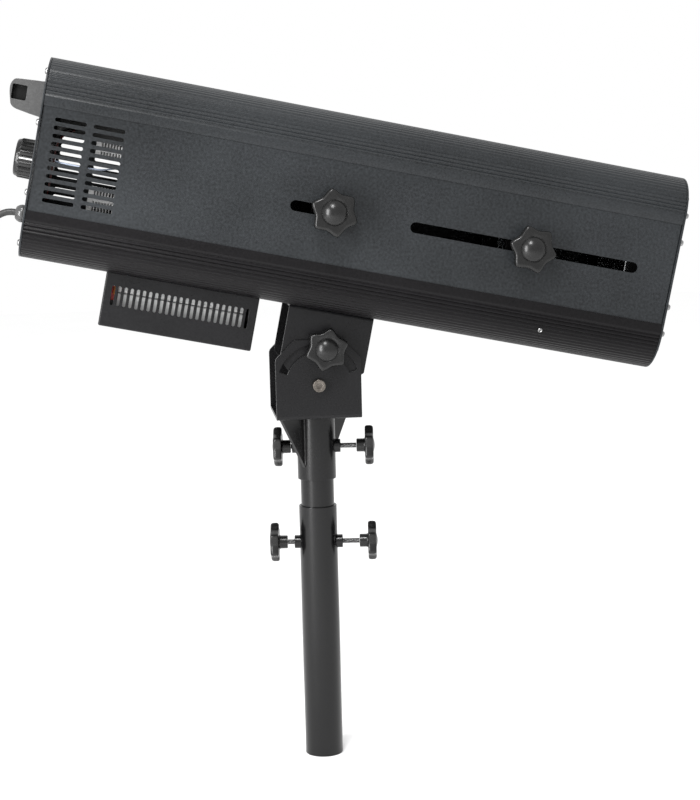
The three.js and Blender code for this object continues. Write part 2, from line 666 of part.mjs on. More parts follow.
// ---- clamp screws ----
// Each has a threaded stud through its boss and a star grip whose hub starts at the given reach.
const clamps = [
  [yoke, "sleeve_left", -1, UPPER_CLAMP_Z, 27],
  [yoke, "sleeve_right", 1, UPPER_CLAMP_Z, 42.5],
  [stand, "tube_left", -1, LOWER_CLAMP_Z, 33],
  [stand, "tube_right", 1, LOWER_CLAMP_Z, 43.5],
];
for (const [group, name, side, z, reach] of clamps) {
  const grip = starGrip(21, 9, 7, 9, 8, 1.6, 0).rotateY(side * Math.PI / 2).translate(side * reach, 0, 0);
  add(group, `${name}_grip`, grip.rotateZ(CLAMP_TURN).translate(0, 0, z), plastic());
  const tip = INNER_TUBE + GAP;
  const stud = side > 0 ? rodX(tip, reach - GAP, 3, 12) : rodX(GAP - reach, -tip, 3, 12);
  add(group, `${name}_stud`, stud.rotateZ(CLAMP_TURN).translate(0, 0, z), steel());
}

// ---- mains lead ----
// The whole lead turns with the head, so it is drawn upright here and joined to the scene as it hangs.
const lead = new THREE.Group();
part.add(lead);

function leadTube(route, steps) {
  const curve = new THREE.CatmullRomCurve3(route.map(([x, y, z]) => new THREE.Vector3(x, y, z)));
  const section = outline(roundedRect(2 * LEAD, 2 * LEAD, LEAD - 1e-3, 2));
  return new THREE.ExtrudeGeometry(section, { steps, bevelEnabled: false, extrudePath: curve });
}
const rubber = () => paint(0x1b1b1c, 0.55, 0);
add(lead, "lead_run", leadTube(LEAD_RUN, 16), rubber());
add(lead, "lead_tail", leadTube(LEAD_TAIL, 5), rubber());

function leadCoil() {
  const outer = COIL_OUTER + LEAD + GAP;
  const inner = COIL_INNER - LEAD - GAP;
  return alongX(ring(outer, inner, COIL_WIDTH, 32)).translate(COIL_X - COIL_WIDTH / 2, 0, COIL_Z);
}
add(lead, "lead_coil", leadCoil(), rubber());

function coilTie() {
  const clear = COIL_WIDTH / 2 + GAP;
  const low = COIL_INNER - LEAD - 1.4;
  const high = COIL_OUTER + LEAD + 2 * GAP;
  const wrap = box(-clear - 1.4, clear + 1.4, -7, 7, low - 1.4, high + 1.4);
  return cut(wrap, box(-clear, clear, -9, 9, low, high)).translate(COIL_X, 0, COIL_Z);
}
add(lead, "coil_tie", coilTie(), rubber());

function mainsPlug() {
  const relief = turned([[0, -26], [6.5, -26], [4.6, 0], [0, 0]], 16);
  const body = extrude(outline(roundedRect(21, 26, 6, 3)), 30).translate(0, 0, -54);
  const blades = [-6.35, 6.35].map((y) => box(-3.2, 3.2, y - 0.75, y + 0.75, -72, -50));
  const earth = rodZ(-75, -50, 2.4, 12).translate(-7, 0, 0);
  return union(relief, body, ...blades, earth).translate(...PLUG_AT);
}
add(lead, "mains_plug", mainsPlug(), rubber());

export default part;
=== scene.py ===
"""Follow spot on a telescopic stand tube: the visible model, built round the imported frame.

Lengths are in millimetres and become metres as each mesh is made. Head pieces are drawn in the head's own
frame, whose origin is the tilt axis, and AXIS is that frame moved up to the optical axis.
"""
import math

import bmesh
import bpy
from mathutils import Matrix, Vector


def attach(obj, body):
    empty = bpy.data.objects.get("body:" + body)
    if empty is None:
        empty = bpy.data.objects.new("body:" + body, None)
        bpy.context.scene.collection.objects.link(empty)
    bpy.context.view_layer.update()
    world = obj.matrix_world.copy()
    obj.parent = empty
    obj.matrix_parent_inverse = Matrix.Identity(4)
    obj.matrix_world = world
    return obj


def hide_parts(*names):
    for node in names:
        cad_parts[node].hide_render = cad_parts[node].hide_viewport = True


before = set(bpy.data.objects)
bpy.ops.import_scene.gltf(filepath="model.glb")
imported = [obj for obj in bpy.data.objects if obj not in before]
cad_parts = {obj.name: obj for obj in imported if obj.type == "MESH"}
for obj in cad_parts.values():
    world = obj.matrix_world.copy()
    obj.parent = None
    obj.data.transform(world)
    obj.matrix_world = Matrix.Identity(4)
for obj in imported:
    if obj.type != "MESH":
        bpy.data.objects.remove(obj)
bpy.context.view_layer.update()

MM = 0.001
TAU = 2 * math.pi
GAP = 0.3
PIVOT_Z = 404.5
AXIS_Z = 176.2
HEAD = Matrix.Translation((0, 0, PIVOT_Z)) @ Matrix.Rotation(math.radians(11.9), 4, "Y")
AXIS = HEAD @ Matrix.Translation((0, 0, AXIS_Z))
WORLD = Matrix.Identity(4)


def at(x, y, z):
    return Matrix.Translation((x, y, z))


def turned_by(degrees, axis):
    return Matrix.Rotation(math.radians(degrees), 4, axis)


# ---- camera ----
def place_camera():
    """The main view: 7.7 degrees down, 6.1 degrees from square on, rolled 1.4 degrees."""
    forward = Vector((0.1053, 0.9854, -0.1336)).normalized()
    right = forward.cross(Vector((0, 0, 1))).normalized()
    up = right.cross(forward)
    roll = math.radians(-1.405)
    level, upright = right, up
    right = level * math.cos(roll) + upright * math.sin(roll)
    up = upright * math.cos(roll) - level * math.sin(roll)
    camera = bpy.data.objects.new("camera", bpy.data.cameras.new("camera"))
    camera.data.sensor_fit = "AUTO"
    camera.data.sensor_width = 36
    camera.data.lens = 81
    basis = Matrix((right, up, -forward)).transposed().to_4x4()
    camera.matrix_world = Matrix.Translation((-0.163, -1.872, 0.635)) @ basis
    bpy.context.scene.collection.objects.link(camera)
    bpy.context.scene.camera = camera


place_camera()

# ---- procedural materials ----
PATCH_SCALE = 7.0  # of the broad patches, per metre
PATCH_SHARE = 0.45
MATERIALS = {}


def surface(name, low, high, rough, grain, bump, metal=0.0, stretch=(1, 1, 1), transmission=0.0,
            specular=0.5):
    """A finish whose colour, roughness and relief all vary: a fine grain over broad soft patches.

    low and high are its darkest and lightest colours, rough its roughness range, grain the grain's scale per
    metre, and bump its height in millimetres.
    """
    mat = bpy.data.materials.new(name)
    mat.use_nodes = True
    nodes, links = mat.node_tree.nodes, mat.node_tree.links
    shader = nodes["Principled BSDF"]
    shader.inputs["Metallic"].default_value = metal
    shader.inputs["Transmission Weight"].default_value = transmission
    shader.inputs["Specular IOR Level"].default_value = specular
    place = nodes.new("ShaderNodeTexCoord")
    mapping = nodes.new("ShaderNodeMapping")
    mapping.inputs["Scale"].default_value = stretch
    links.new(place.outputs["Object"], mapping.inputs["Vector"])

    def noise(scale, detail):
        node = nodes.new("ShaderNodeTexNoise")
        node.inputs["Scale"].default_value = scale
        node.inputs["Detail"].default_value = detail
        node.inputs["Roughness"].default_value = 0.55
        links.new(mapping.outputs["Vector"], node.inputs["Vector"])
        return node.outputs["Fac"]

    fine = noise(grain, 5)
    broad = noise(PATCH_SCALE, 3)
    blend = nodes.new("ShaderNodeMath")
    blend.operation = "MULTIPLY_ADD"
    blend.inputs[1].default_value = PATCH_SHARE
    links.new(broad, blend.inputs[0])
    share = nodes.new("ShaderNodeMath")
    share.operation = "MULTIPLY"
    share.inputs[1].default_value = 1 - PATCH_SHARE
    links.new(fine, share.inputs[0])
    links.new(share.outputs[0], blend.inputs[2])
    ramp = nodes.new("ShaderNodeValToRGB")
    ramp.color_ramp.elements[0].position = 0.32
    ramp.color_ramp.elements[0].color = (*low, 1)
    ramp.color_ramp.elements[1].position = 0.68
    ramp.color_ramp.elements[1].color = (*high, 1)
    links.new(blend.outputs[0], ramp.inputs["Fac"])
    links.new(ramp.outputs["Color"], shader.inputs["Base Color"])
    spread = nodes.new("ShaderNodeMapRange")
    spread.inputs["From Min"].default_value = 0.3
    spread.inputs["From Max"].default_value = 0.7
    spread.inputs["To Min"].default_value = rough[0]
    spread.inputs["To Max"].default_value = rough[1]
    links.new(blend.outputs[0], spread.inputs["Value"])
    links.new(spread.outputs["Result"], shader.inputs["Roughness"])
    relief = nodes.new("ShaderNodeBump")
    relief.inputs["Strength"].default_value = 1.0
    relief.inputs["Distance"].default_value = bump * MM
    links.new(fine, relief.inputs["Height"])
    links.new(relief.outputs["Normal"], shader.inputs["Normal"])
    MATERIALS[name] = mat
    return mat


def grey(value, tint=(1, 1, 1)):
    return tuple(value * t for t in tint)


COOL = (0.9, 1.0, 1.1)
PLUM = (1.06, 0.96, 1.08)
SLATE = (0.99, 0.98, 1.06)
surface("shell_coat", grey(0.006, COOL), grey(0.028, COOL), (0.3, 0.42), 380, 0.1, specular=0.22)
surface("top_coat", grey(0.009, COOL), grey(0.024, COOL), (0.24, 0.34), 450, 0.05, specular=0.27)
surface("matt_black", grey(0.003), grey(0.007), (0.7, 0.85), 900, 0.03, specular=0.12)
surface("lower_coat", grey(0.002, PLUM), grey(0.006, PLUM), (0.26, 0.36), 450, 0.05, specular=0.15)
surface("stand_coat", grey(0.003, SLATE), grey(0.010, SLATE), (0.24, 0.34), 700, 0.05, specular=0.2)
surface("tube_coat", grey(0.001, SLATE), grey(0.005, SLATE), (0.2, 0.3), 700, 0.02, specular=0.32)
surface("black_plastic", grey(0.003), grey(0.007), (0.22, 0.34), 500, 0.012, specular=0.36)
surface("soft_plastic", grey(0.012), grey(0.022), (0.5, 0.66), 1100, 0.04)
surface("bright_steel", grey(0.18), grey(0.34), (0.2, 0.36), 600, 0.008, metal=1.0, stretch=(1, 1, 4))
surface("dull_steel", (0.1, 0.09, 0.08), (0.2, 0.18, 0.16), (0.3, 0.45), 500, 0.02, metal=1.0)
surface("bare_aluminium", grey(0.62), grey(0.8), (0.28, 0.44), 500, 0.01, metal=1.0, stretch=(0.15, 1, 1))
surface("led_face", (0.78, 0.55, 0.09), (0.9, 0.7, 0.18), (0.4, 0.55), 1800, 0.02)
surface("led_board", grey(0.7), grey(0.82), (0.3, 0.45), 900, 0.01)
surface("mirror_face", grey(0.8), grey(0.88), (0.04, 0.09), 250, 0.004, metal=1.0)
surface("clear_glass", (0.93, 0.96, 0.97), (0.97, 0.99, 1.0), (0.0, 0.03), 120, 0.002, transmission=1.0)
surface("driver_case", grey(0.72), grey(0.84), (0.35, 0.5), 500, 0.012, metal=0.15, stretch=(0.2, 1, 1))
surface("red_block", (0.4, 0.02, 0.015), (0.56, 0.04, 0.03), (0.3, 0.42), 700, 0.015)
surface("lead_rubber", grey(0.014), grey(0.024), (0.38, 0.5), 1300, 0.02)
surface("tie_fabric", grey(0.01), grey(0.03), (0.75, 0.9), 1600, 0.25, stretch=(1, 4, 1))
surface("white_mark", grey(0.7), grey(0.8), (0.4, 0.5), 800, 0.01)
surface("gloss_plastic", grey(0.003), grey(0.008), (0.2, 0.32), 300, 0.008, specular=0.4)
surface("handle_plastic", grey(0.04), grey(0.06), (0.2, 0.3), 300, 0.008)
surface("orange_wire", (0.6, 0.16, 0.03), (0.75, 0.26, 0.06), (0.3, 0.45), 900, 0.01)
surface("red_wire", (0.03, 0.003, 0.003), (0.06, 0.008, 0.007), (0.3, 0.45), 900, 0.01)
surface("bright_red_wire", (0.4, 0.012, 0.01), (0.55, 0.03, 0.02), (0.3, 0.45), 900, 0.01)
surface("pale_wire", (0.5, 0.58, 0.75), (0.62, 0.7, 0.85), (0.3, 0.45), 900, 0.01)


# ---- shapes, each returned as a bmesh in millimetres ----
def loft(rings, caps=True, loop=False):
    """Skins rings of equal length. loop joins the last ring to the first, and caps close the ends."""
    bm = bmesh.new()
    rows = [[bm.verts.new(p) for p in ring] for ring in rings]
    count = len(rows[0])
    pairs = list(zip(rows, rows[1:]))
    if loop:
        pairs.append((rows[-1], rows[0]))
    for a, b in pairs:
        for i in range(count):
            j = (i + 1) % count
            bm.faces.new((a[i], a[j], b[j], b[i]))
    if caps and not loop:
        bm.faces.new(rows[0][::-1])
        bm.faces.new(rows[-1])
    bmesh.ops.remove_doubles(bm, verts=bm.verts, dist=1e-4)
    bmesh.ops.dissolve_degenerate(bm, edges=bm.edges, dist=1e-5)
    bmesh.ops.recalc_face_normals(bm, faces=bm.faces)
    return bm


def angles(steps):
    return [TAU * i / steps for i in range(steps)]


def ring(z, radius, steps):
    """A ring about Z. radius is a number, or a function of the angle."""
    reach = radius if callable(radius) else (lambda a: radius)
    return [(reach(a) * math.cos(a), reach(a) * math.sin(a), z) for a in angles(steps)]


def rings_at(profile, steps):
    """Rings about Z from (height, radius) pairs."""
    return [ring(z, radius, steps) for z, radius in profile]


def turn(profile, steps=48, loop=False):
    """Turns [radius, height] points about Z. loop is for a profile that closes on itself."""
    return loft([ring(h, r, steps) for r, h in profile], caps=not loop, loop=loop)


def fillet(points, radius, steps=3, closed=False):
    """Rounds a polyline's corners: radius is one number, or one for each point."""
    count = len(points)
    out = []
    for i, here in enumerate(points):
        r = radius[i] if isinstance(radius, (list, tuple)) else radius
        if r <= 0 or (not closed and i in (0, count - 1)):
            out.append(tuple(here))
            continue
        p = Vector(here)
        a = Vector(points[i - 1]) - p
        b = Vector(points[(i + 1) % count]) - p
        reach = min(r, a.length * 0.49, b.length * 0.49)
        start, end = p + a.normalized() * reach, p + b.normalized() * reach
        for k in range(steps + 1):
            t = k / steps
            out.append(tuple((1 - t) ** 2 * start + 2 * t * (1 - t) * p + t * t * end))
    return out


def drum(low, high, radius, edge, steps=48):
    """A round solid about Z. edge rounds its rims: one number, or one for each corner of its profile."""
    return turn(fillet([(0, low), (radius, low), (radius, high), (0, high)], edge), steps)


def rounded_rect(width, height, radius, steps=10, x=0.0, y=0.0):
    out = []
    for quarter, (sx, sy) in enumerate([(1, 1), (-1, 1), (-1, -1), (1, -1)]):
        for i in range(steps + 1):
            a = (quarter + i / steps) * math.pi / 2
            out.append((x + sx * (width / 2 - radius) + radius * math.cos(a),
                        y + sy * (height / 2 - radius) + radius * math.sin(a)))
    return out


def long_hole(x, y, length, height, steps=8):
    return rounded_rect(length, height, height / 2 - 1e-3, steps, x, y)


def round_hole(x, y, radius, steps=32):
    return [(x + radius * math.cos(a), y + radius * math.sin(a)) for a in angles(steps)]


def skin_of(curve):
    """The surface of a curve, which is used up."""
    holder = bpy.data.objects.new("curve", curve)
    mesh = bpy.data.meshes.new_from_object(holder)
    bm = bmesh.new()
    bm.from_mesh(mesh)
    bpy.data.objects.remove(holder)
    bpy.data.curves.remove(curve)
    bpy.data.meshes.remove(mesh)
    bmesh.ops.remove_doubles(bm, verts=bm.verts, dist=1e-3)
    return bm


def plate(outline, holes=(), thick=2.0, edge=0.3):
    """A flat plate in X and Y, centred on z 0, with holes and rounded edges."""
    curve = bpy.data.curves.new("plate", "CURVE")
    curve.dimensions = "2D"
    curve.fill_mode = "BOTH"
    curve.extrude = thick / 2 - edge
    curve.bevel_depth = edge
    curve.bevel_resolution = 1
    curve.offset = -edge
    for index, loop in enumerate([outline, *holes]):
        area = sum(a[0] * b[1] - b[0] * a[1] for a, b in zip(loop, loop[1:] + loop[:1]))
        if (area > 0) == (index == 0):
            loop = loop[::-1]
        spline = curve.splines.new("POLY")
        spline.points.add(len(loop) - 1)
        for point, (x, y) in zip(spline.points, loop):
            point.co = (x, y, 0, 1)
        spline.use_cyclic_u = True
    bm = skin_of(curve)
    bmesh.ops.recalc_face_normals(bm, faces=bm.faces)
    return bm


def prism(outline, low, high):
    """An outline in X and Y, run along Z."""
    return loft([[(x, y, z) for x, y in outline] for z in (low, high)])


def block(x0, x1, y0, y1, z0, z1, edge=0.0, segments=2):
    bm = prism([(x0, y0), (x1, y0), (x1, y1), (x0, y1)], z0, z1)
    if edge:
        bmesh.ops.bevel(bm, geom=bm.edges[:], offset=edge, segments=segments, affect="EDGES", profile=0.5)
    return bm


def moved(bm, matrix):
    """Transforms a shape, and keeps its faces pointing out when the matrix mirrors it."""
    bmesh.ops.transform(bm, matrix=matrix, verts=bm.verts)
    if matrix.determinant() < 0:
        bmesh.ops.reverse_faces(bm, faces=bm.faces)
    return bm


def gathered(*shapes):
    """One bmesh of separate closed shapes that don't touch."""
    out = bmesh.new()
    for shape in shapes:
        mesh = bpy.data.meshes.new("shape")
        shape.to_mesh(mesh)
        shape.free()
        out.from_mesh(mesh)
        bpy.data.meshes.remove(mesh)
    return out


def joined(base, tool, operation="UNION"):
    """Exact boolean of two closed shapes."""
    pair = []
    for shape in (base, tool):
        bmesh.ops.triangulate(shape, faces=[f for f in shape.faces if len(f.verts) > 4])
        mesh = bpy.data.meshes.new("shape")
        shape.to_mesh(mesh)
        shape.free()
        obj = bpy.data.objects.new("shape", mesh)
        bpy.context.scene.collection.objects.link(obj)
        pair.append(obj)
    modifier = pair[0].modifiers.new("join", "BOOLEAN")
    modifier.object = pair[1]
    modifier.operation = operation
    modifier.solver = "EXACT"
    graph = bpy.context.evaluated_depsgraph_get()
    result = bpy.data.meshes.new_from_object(pair[0].evaluated_get(graph))
    out = bmesh.new()
    out.from_mesh(result)
    bpy.data.meshes.remove(result)
    for obj in pair:
        mesh = obj.data
        bpy.data.objects.remove(obj)
        bpy.data.meshes.remove(mesh)
    bmesh.ops.remove_doubles(out, verts=out.verts, dist=1e-4)
    bmesh.ops.dissolve_limit(out, angle_limit=math.radians(0.3), verts=out.verts, edges=out.edges)
    return out


def cut(base, *tools):
    for tool in tools:
        base = joined(base, tool, "DIFFERENCE")
    return base


def fused(base, *others):
    for other in others:
        base = joined(base, other)
    return base


def round_curve(name, points, radius, sides, steps):
    """A round curve that runs smoothly through the points."""
    curve = bpy.data.curves.new(name, "CURVE")
    curve.dimensions = "3D"
    curve.bevel_depth = radius
    curve.bevel_resolution = sides
    curve.resolution_u = steps
    curve.use_fill_caps = True
    spline = curve.splines.new("BEZIER")
    spline.bezier_points.add(len(points) - 1)
    for point, place in zip(spline.bezier_points, points):
        point.co = place
        point.handle_left_type = point.handle_right_type = "AUTO"
    return curve


def wire(points, radius):
    return skin_of(round_curve("wire", points, radius, 3, 6))


XZ_FROM_XY = Matrix(((1, 0, 0, 0), (0, 0, 1, 0), (0, 1, 0, 0), (0, 0, 0, 1)))
YZ_FROM_XY = Matrix(((0, 0, 1, 0), (1, 0, 0, 0), (0, 1, 0, 0), (0, 0, 0, 1)))


def across(outline, near, far):
    """An outline in X and Z, run along Y."""
    return moved(prism(outline, near, far), XZ_FROM_XY)


def along(outline, rear, front):
    """An outline in Y and Z, run along X."""
    return moved(prism(outline, rear, front), YZ_FROM_XY)


def rod(x0, x1, radius, edge=0.4, steps=40):
    """A round bar along X with rounded ends."""
    return moved(drum(x0, x1, radius, edge, steps), turned_by(90, "Y"))


def piece(name, bm, matrix, body, nodes=(), slot=None, material=None, edge=0.0, smooth=32):
    """Makes a shape a visible piece: placed in metres, riding on a body, and standing for CAD nodes.

    edge bevels its edges, in millimetres, and smooth is the angle from which an edge stays sharp.
    """
    moved(bm, Matrix.Scale(MM, 4) @ matrix)
    bmesh.ops.recalc_face_normals(bm, faces=bm.faces)
    mesh = bpy.data.meshes.new(name)
    bm.to_mesh(mesh)
    bm.free()
    obj = bpy.data.objects.new(name, mesh)
    bpy.context.scene.collection.objects.link(obj)
    mesh.materials.append(MATERIALS[material or slot])
    mesh.shade_smooth()
    mesh.set_sharp_from_angle(angle=math.radians(smooth))
    if edge:
        bevel = obj.modifiers.new("edges", "BEVEL")
        bevel.width = edge * MM
        bevel.segments = 2
        bevel.limit_method = "ANGLE"
        bevel.angle_limit = math.radians(32)
        bevel.harden_normals = False
    weigh = obj.modifiers.new("normals", "WEIGHTED_NORMAL")
    weigh.keep_sharp = True
    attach(obj, body)
    if nodes:
        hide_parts(*([nodes] if isinstance(nodes, str) else nodes))
    return obj


# ---- mains lead ----
LEAD = 3.5  # the lead's radius
LEAD_RUN = [
    (-296, 0, 586.5), (-302, 0, 587.8), (-307, 0, 588.3), (-312, 0, 587.7), (-317, 0, 585.9),
    (-323, 0.2, 582.2), (-328.5, 0.5, 577), (-333, 1, 570.5), (-336.5, 1.6, 562.5), (-338.8, 2.6, 553.5),
    (-340, 4, 544), (-340.6, 6, 534), (-340.8, 8.8, 524), (-340.6, 12.4, 514.5), (-340.3, 16.6, 505.5),
    (-340.1, 20.9, 497.4), (-340.05, 27.5, 482.5), (-340.05, 33.6, 468),
]
LEAD_TAIL = [(-347.4, 44, 437), (-347.4, 44, 430), (-347.4, 44, 423), (-347.4, 43.3, 417),
             (-347.4, 42.4, 410.5), (-347.4, 42, 404.6)]
COIL = (-351, 452)  # its centre's x and z
COIL_STEP = 7.3
COIL_INNER, COIL_OUTER = 37, 44
PLUG_AT = (-347.4, 42, 404.3)


def coil_turns():
    """Three inner turns going one way across the coil, then two outer turns coming back over them."""
    out = []
    per_turn = 16
    x = COIL[0] + 1.5 * COIL_STEP
    for i in range(5 * per_turn + 1):
        turns = i / per_turn
        inner = min(turns, 3)
        outer = max(turns - 3, 0)
        climb = min(outer * 6, 1)
        radius = COIL_INNER + (COIL_OUTER - COIL_INNER) * climb * climb * (3 - 2 * climb)
        a = TAU * turns
        out.append((x - COIL_STEP * (inner - outer), radius * math.cos(a), COIL[1] - radius * math.sin(a)))
    return out


def make_lead():
    route = LEAD_RUN + coil_turns() + LEAD_TAIL
    curve = round_curve("lead", [Vector(place) * MM for place in route], LEAD * MM, 5, 5)
    lead = bpy.data.objects.new("mains_lead", curve)
    bpy.context.scene.collection.objects.link(lead)
    curve.materials.append(MATERIALS["lead_rubber"])
    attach(lead, "head")
    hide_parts("lead_run", "lead_coil", "lead_tail")
    return lead


def make_plug():
    """A moulded three-pin plug with a ribbed strain relief."""
    rings = []
    for i in range(27):
        z = -i
        taper = 4.7 + 1.7 * i / 26
        rings.append(ring(z, taper - (0.7 if i % 4 in (2, 3) and 2 < i < 25 else 0), 32))
    relief = loft(rings)
    sections = []
    for z, grow in [(-24, -4), (-25.2, -1.6), (-27, -0.4), (-30, 0), (-38, 0), (-39, -0.7), (-41, -0.7),
                    (-42, 0), (-44, -0.7), (-46, -0.7), (-47, 0), (-52, 0), (-53.4, -0.5), (-54, -1.6)]:
        sections.append([(x, y, z) for x, y in rounded_rect(21 + 2 * grow, 26 + 2 * grow, 6 + grow, 8)])
    body = fused(relief, loft(sections))
    shell = piece("plug_body", body, at(*PLUG_AT), "head", "mains_plug", "lead_rubber")
    pins = [block(-3.2, 3.2, y - 0.75, y + 0.75, -72, -53.5, 0.3) for y in (-6.35, 6.35)]
    earth = moved(drum(-75, -53.5, 2.4, 1.6, 24), at(-7, 0, 0))
    metal = piece("plug_pins", gathered(*pins, earth), at(*PLUG_AT), "head", (), "bright_steel")
    return shell, metal


def make_tie():
    """A fabric hook-and-loop tie round the coil's turns, at the top of the coil."""
    low, high, half = COIL_INNER - LEAD - 0.9, COIL_OUTER + LEAD + 0.9, 1.5 * COIL_STEP + LEAD + 0.6
    inner = rounded_rect(2 * half, high - low, 4, 8, 0, (low + high) / 2)
    outer = rounded_rect(2 * half + 2, high - low + 2, 5, 8, 0, (low + high) / 2)
    rings = []
    for (xi, zi), (xo, zo) in zip(inner, outer):
        rings.append([(xi, -6.8, zi), (xo, -6.8, zo), (xo, 6.8, zo), (xi, 6.8, zi)])
    return piece("coil_tie_strap", loft(rings, loop=True), at(COIL[0], 0, COIL[1]), "head", "coil_tie",
                 "soft_plastic", "tie_fabric", edge=0.25)


lead = make_lead()
plug_body, plug_pins = make_plug()
tie = make_tie()

# ---- head shell ----
HEAD_WIDTH, HEAD_HEIGHT = 204, 197.2
HALF_WIDTH, HALF_HEIGHT = HEAD_WIDTH / 2, HEAD_HEIGHT / 2
HEAD_REAR, HEAD_FRONT = -316, 327
CORNER = 38
SEAM = 51  # height of the joint between shell and side panel
END_PLATE = 2
LIP_DROP = 1.0  # how far the shell draws in at the seam
LIP = 1.7  # the shell's thickness there
PANEL_THICK = 1.5
RIDGE_PITCH, RIDGE_COUNT, RIDGE_START, RIDGE_RELIEF = 3.9, 14, 4.1, 1.35
VENT_CENTRES = (-287.8, -250.3)
VENT_ROWS, VENT_PITCH = 11, 7.82
FRONT_FACE = HEAD_FRONT + GAP + END_PLATE
REAR_FACE = HEAD_REAR - GAP - END_PLATE


def ridge_relief(index):
    """The lowest three ridges are the deepest, and the ones above them grow shallower."""
    return RIDGE_RELIEF if index < 3 else max(RIDGE_RELIEF * (0.9 - 0.12 * (index - 2)), 0.38)


def shell_side():
    """One side of the extrusion's outside, from the seam up to the flat, with its rounded ridges."""
    arc_y, arc_z = HALF_WIDTH - CORNER, HALF_HEIGHT - CORNER
    out = []
    for i in range(9):
        t = i / 8
        out.append((HALF_WIDTH - LIP_DROP * (1 - t) ** 2, SEAM + (arc_z - SEAM) * t))
    steps = 10
    for i in range(RIDGE_COUNT):
        for k in range(steps):
            offset = (k / steps - 0.5) * RIDGE_PITCH
            crest = 0.5 + 0.5 * math.cos(TAU * offset / RIDGE_PITCH)
            radius = CORNER - ridge_relief(i) * (1 - crest ** 0.9)
            a = (RIDGE_START + i * RIDGE_PITCH + offset) / CORNER
            out.append((arc_y + radius * math.cos(a), arc_z + radius * math.sin(a)))
    out.append((arc_y + 1.2, HALF_HEIGHT - 0.02))
    out.append((arc_y, HALF_HEIGHT))
    return out


def shell_inside():
    lip = HALF_WIDTH - LIP
    groove = lip - 2.1
    leg = groove - 2
    radius = CORNER - 2.5
    arc_y, arc_z = HALF_WIDTH - CORNER, HALF_HEIGHT - CORNER
    out = [(lip + 0.3, SEAM), (lip, SEAM + 0.3), (lip, SEAM + 5), (groove, SEAM + 5), (groove, SEAM),
           (leg, SEAM), (leg, arc_z + 3.4)]
    first = math.asin(3.4 / radius)
    for i in range(17):
        a = first + i / 16 * (math.pi / 2 - first)
        out.append((arc_y + radius * math.cos(a), arc_z + radius * math.sin(a)))
    return out


def shell():
    outer, inner = shell_side(), shell_inside()
    mirror = [(-y, z) for y, z in outer][::-1]
    section = outer + mirror + [(-y, z) for y, z in inner] + inner[::-1]
    return along(section, HEAD_REAR, HEAD_FRONT)


piece("top_shell", shell(), AXIS, "head", "top_extrusion", "shell_coat", "top_coat", smooth=40)
piece("bottom_shell", moved(shell(), turned_by(180, "X")), AXIS, "head", "bottom_extrusion", "lower_coat",
      smooth=40)


def side_panel(slots):
    x0, x1 = HEAD_REAR + GAP, HEAD_FRONT - GAP
    outline = rounded_rect(x1 - x0, 2 * (SEAM + 4.7), 1, 3, (x0 + x1) / 2, 0)
    holes = []
    for x in VENT_CENTRES:
        for row in range(VENT_ROWS):
            holes.append(long_hole(x, (row - (VENT_ROWS - 1) / 2) * VENT_PITCH + 0.5, 30.6, 3.9))
    for a, b in slots:
        holes.append(long_hole((a + b) / 2, 0, b - a, 10.6, 12))
    return moved(plate(outline, holes, PANEL_THICK, 0.3), XZ_FROM_XY)


PANEL_Y = HALF_WIDTH - LIP - GAP - PANEL_THICK / 2
FOCUS_SLOT, ZOOM_SLOT = (-65.5, -4.5), (55.7, 290.6)
piece("near_panel", side_panel([FOCUS_SLOT, ZOOM_SLOT]), AXIS @ at(0, -PANEL_Y, 0), "head",
      "near_side_panel", "shell_coat")
piece("far_panel", side_panel([]), AXIS @ at(0, PANEL_Y, 0), "head", "far_side_panel", "shell_coat")

GLAND_Z = 117 - AXIS_Z
DIMMER_Z = -3.5
HANDLE_Z = 56.5


def end_plate(holes):
    outline = rounded_rect(HEAD_WIDTH, HEAD_HEIGHT, CORNER, 16)
    return moved(plate(outline, holes, END_PLATE, 0.5), YZ_FROM_XY)


grille = [long_hole(side * 50, (row - 3) * 9 - 3, 44, 4.5) for side in (-1, 1) for row in range(7)]
piece("front_plate_skin", end_plate([round_hole(0, 0, 71, 72)]), AXIS @ at(HEAD_FRONT + GAP + 1, 0, 0),
      "head", "front_plate", "shell_coat")
piece("rear_plate_skin", end_plate([round_hole(0, GLAND_Z, 8.2), round_hole(0, DIMMER_Z, 4), *grille]),
      AXIS @ at(HEAD_REAR - GAP - 1, 0, 0), "head", "rear_plate", "shell_coat")

TO_FRONT = turned_by(90, "Y")
TO_REAR = turned_by(-90, "Y")
SNOUT = 291 - FRONT_FACE - GAP  # the snout's rear end, seen from the bezel
bezel = fillet([(66, SNOUT), (70.4, SNOUT), (70.4, 0), (79, 0), (79, 2.2), (77.5, 3.5), (69, 3.5), (66, 1)],
               [0.4, 0.4, 0, 0.3, 0.8, 1.2, 1.5, 1.0], closed=True)
piece("bezel_ring", turn(bezel, 120, loop=True), AXIS @ at(FRONT_FACE + GAP, 0, 0) @ TO_FRONT, "head",
      "front_bezel", "black_plastic", "matt_black")
piece("window_glass", drum(-7, -4, 65.6, 0.5, 96), AXIS @ at(FRONT_FACE, 0, 0) @ TO_FRONT, "head",
      "front_window", "clear_glass")


# ---- rear fittings ----
HANDLE_REACH = 58
HANDLE = AXIS @ at(REAR_FACE - GAP, 0, HANDLE_Z)


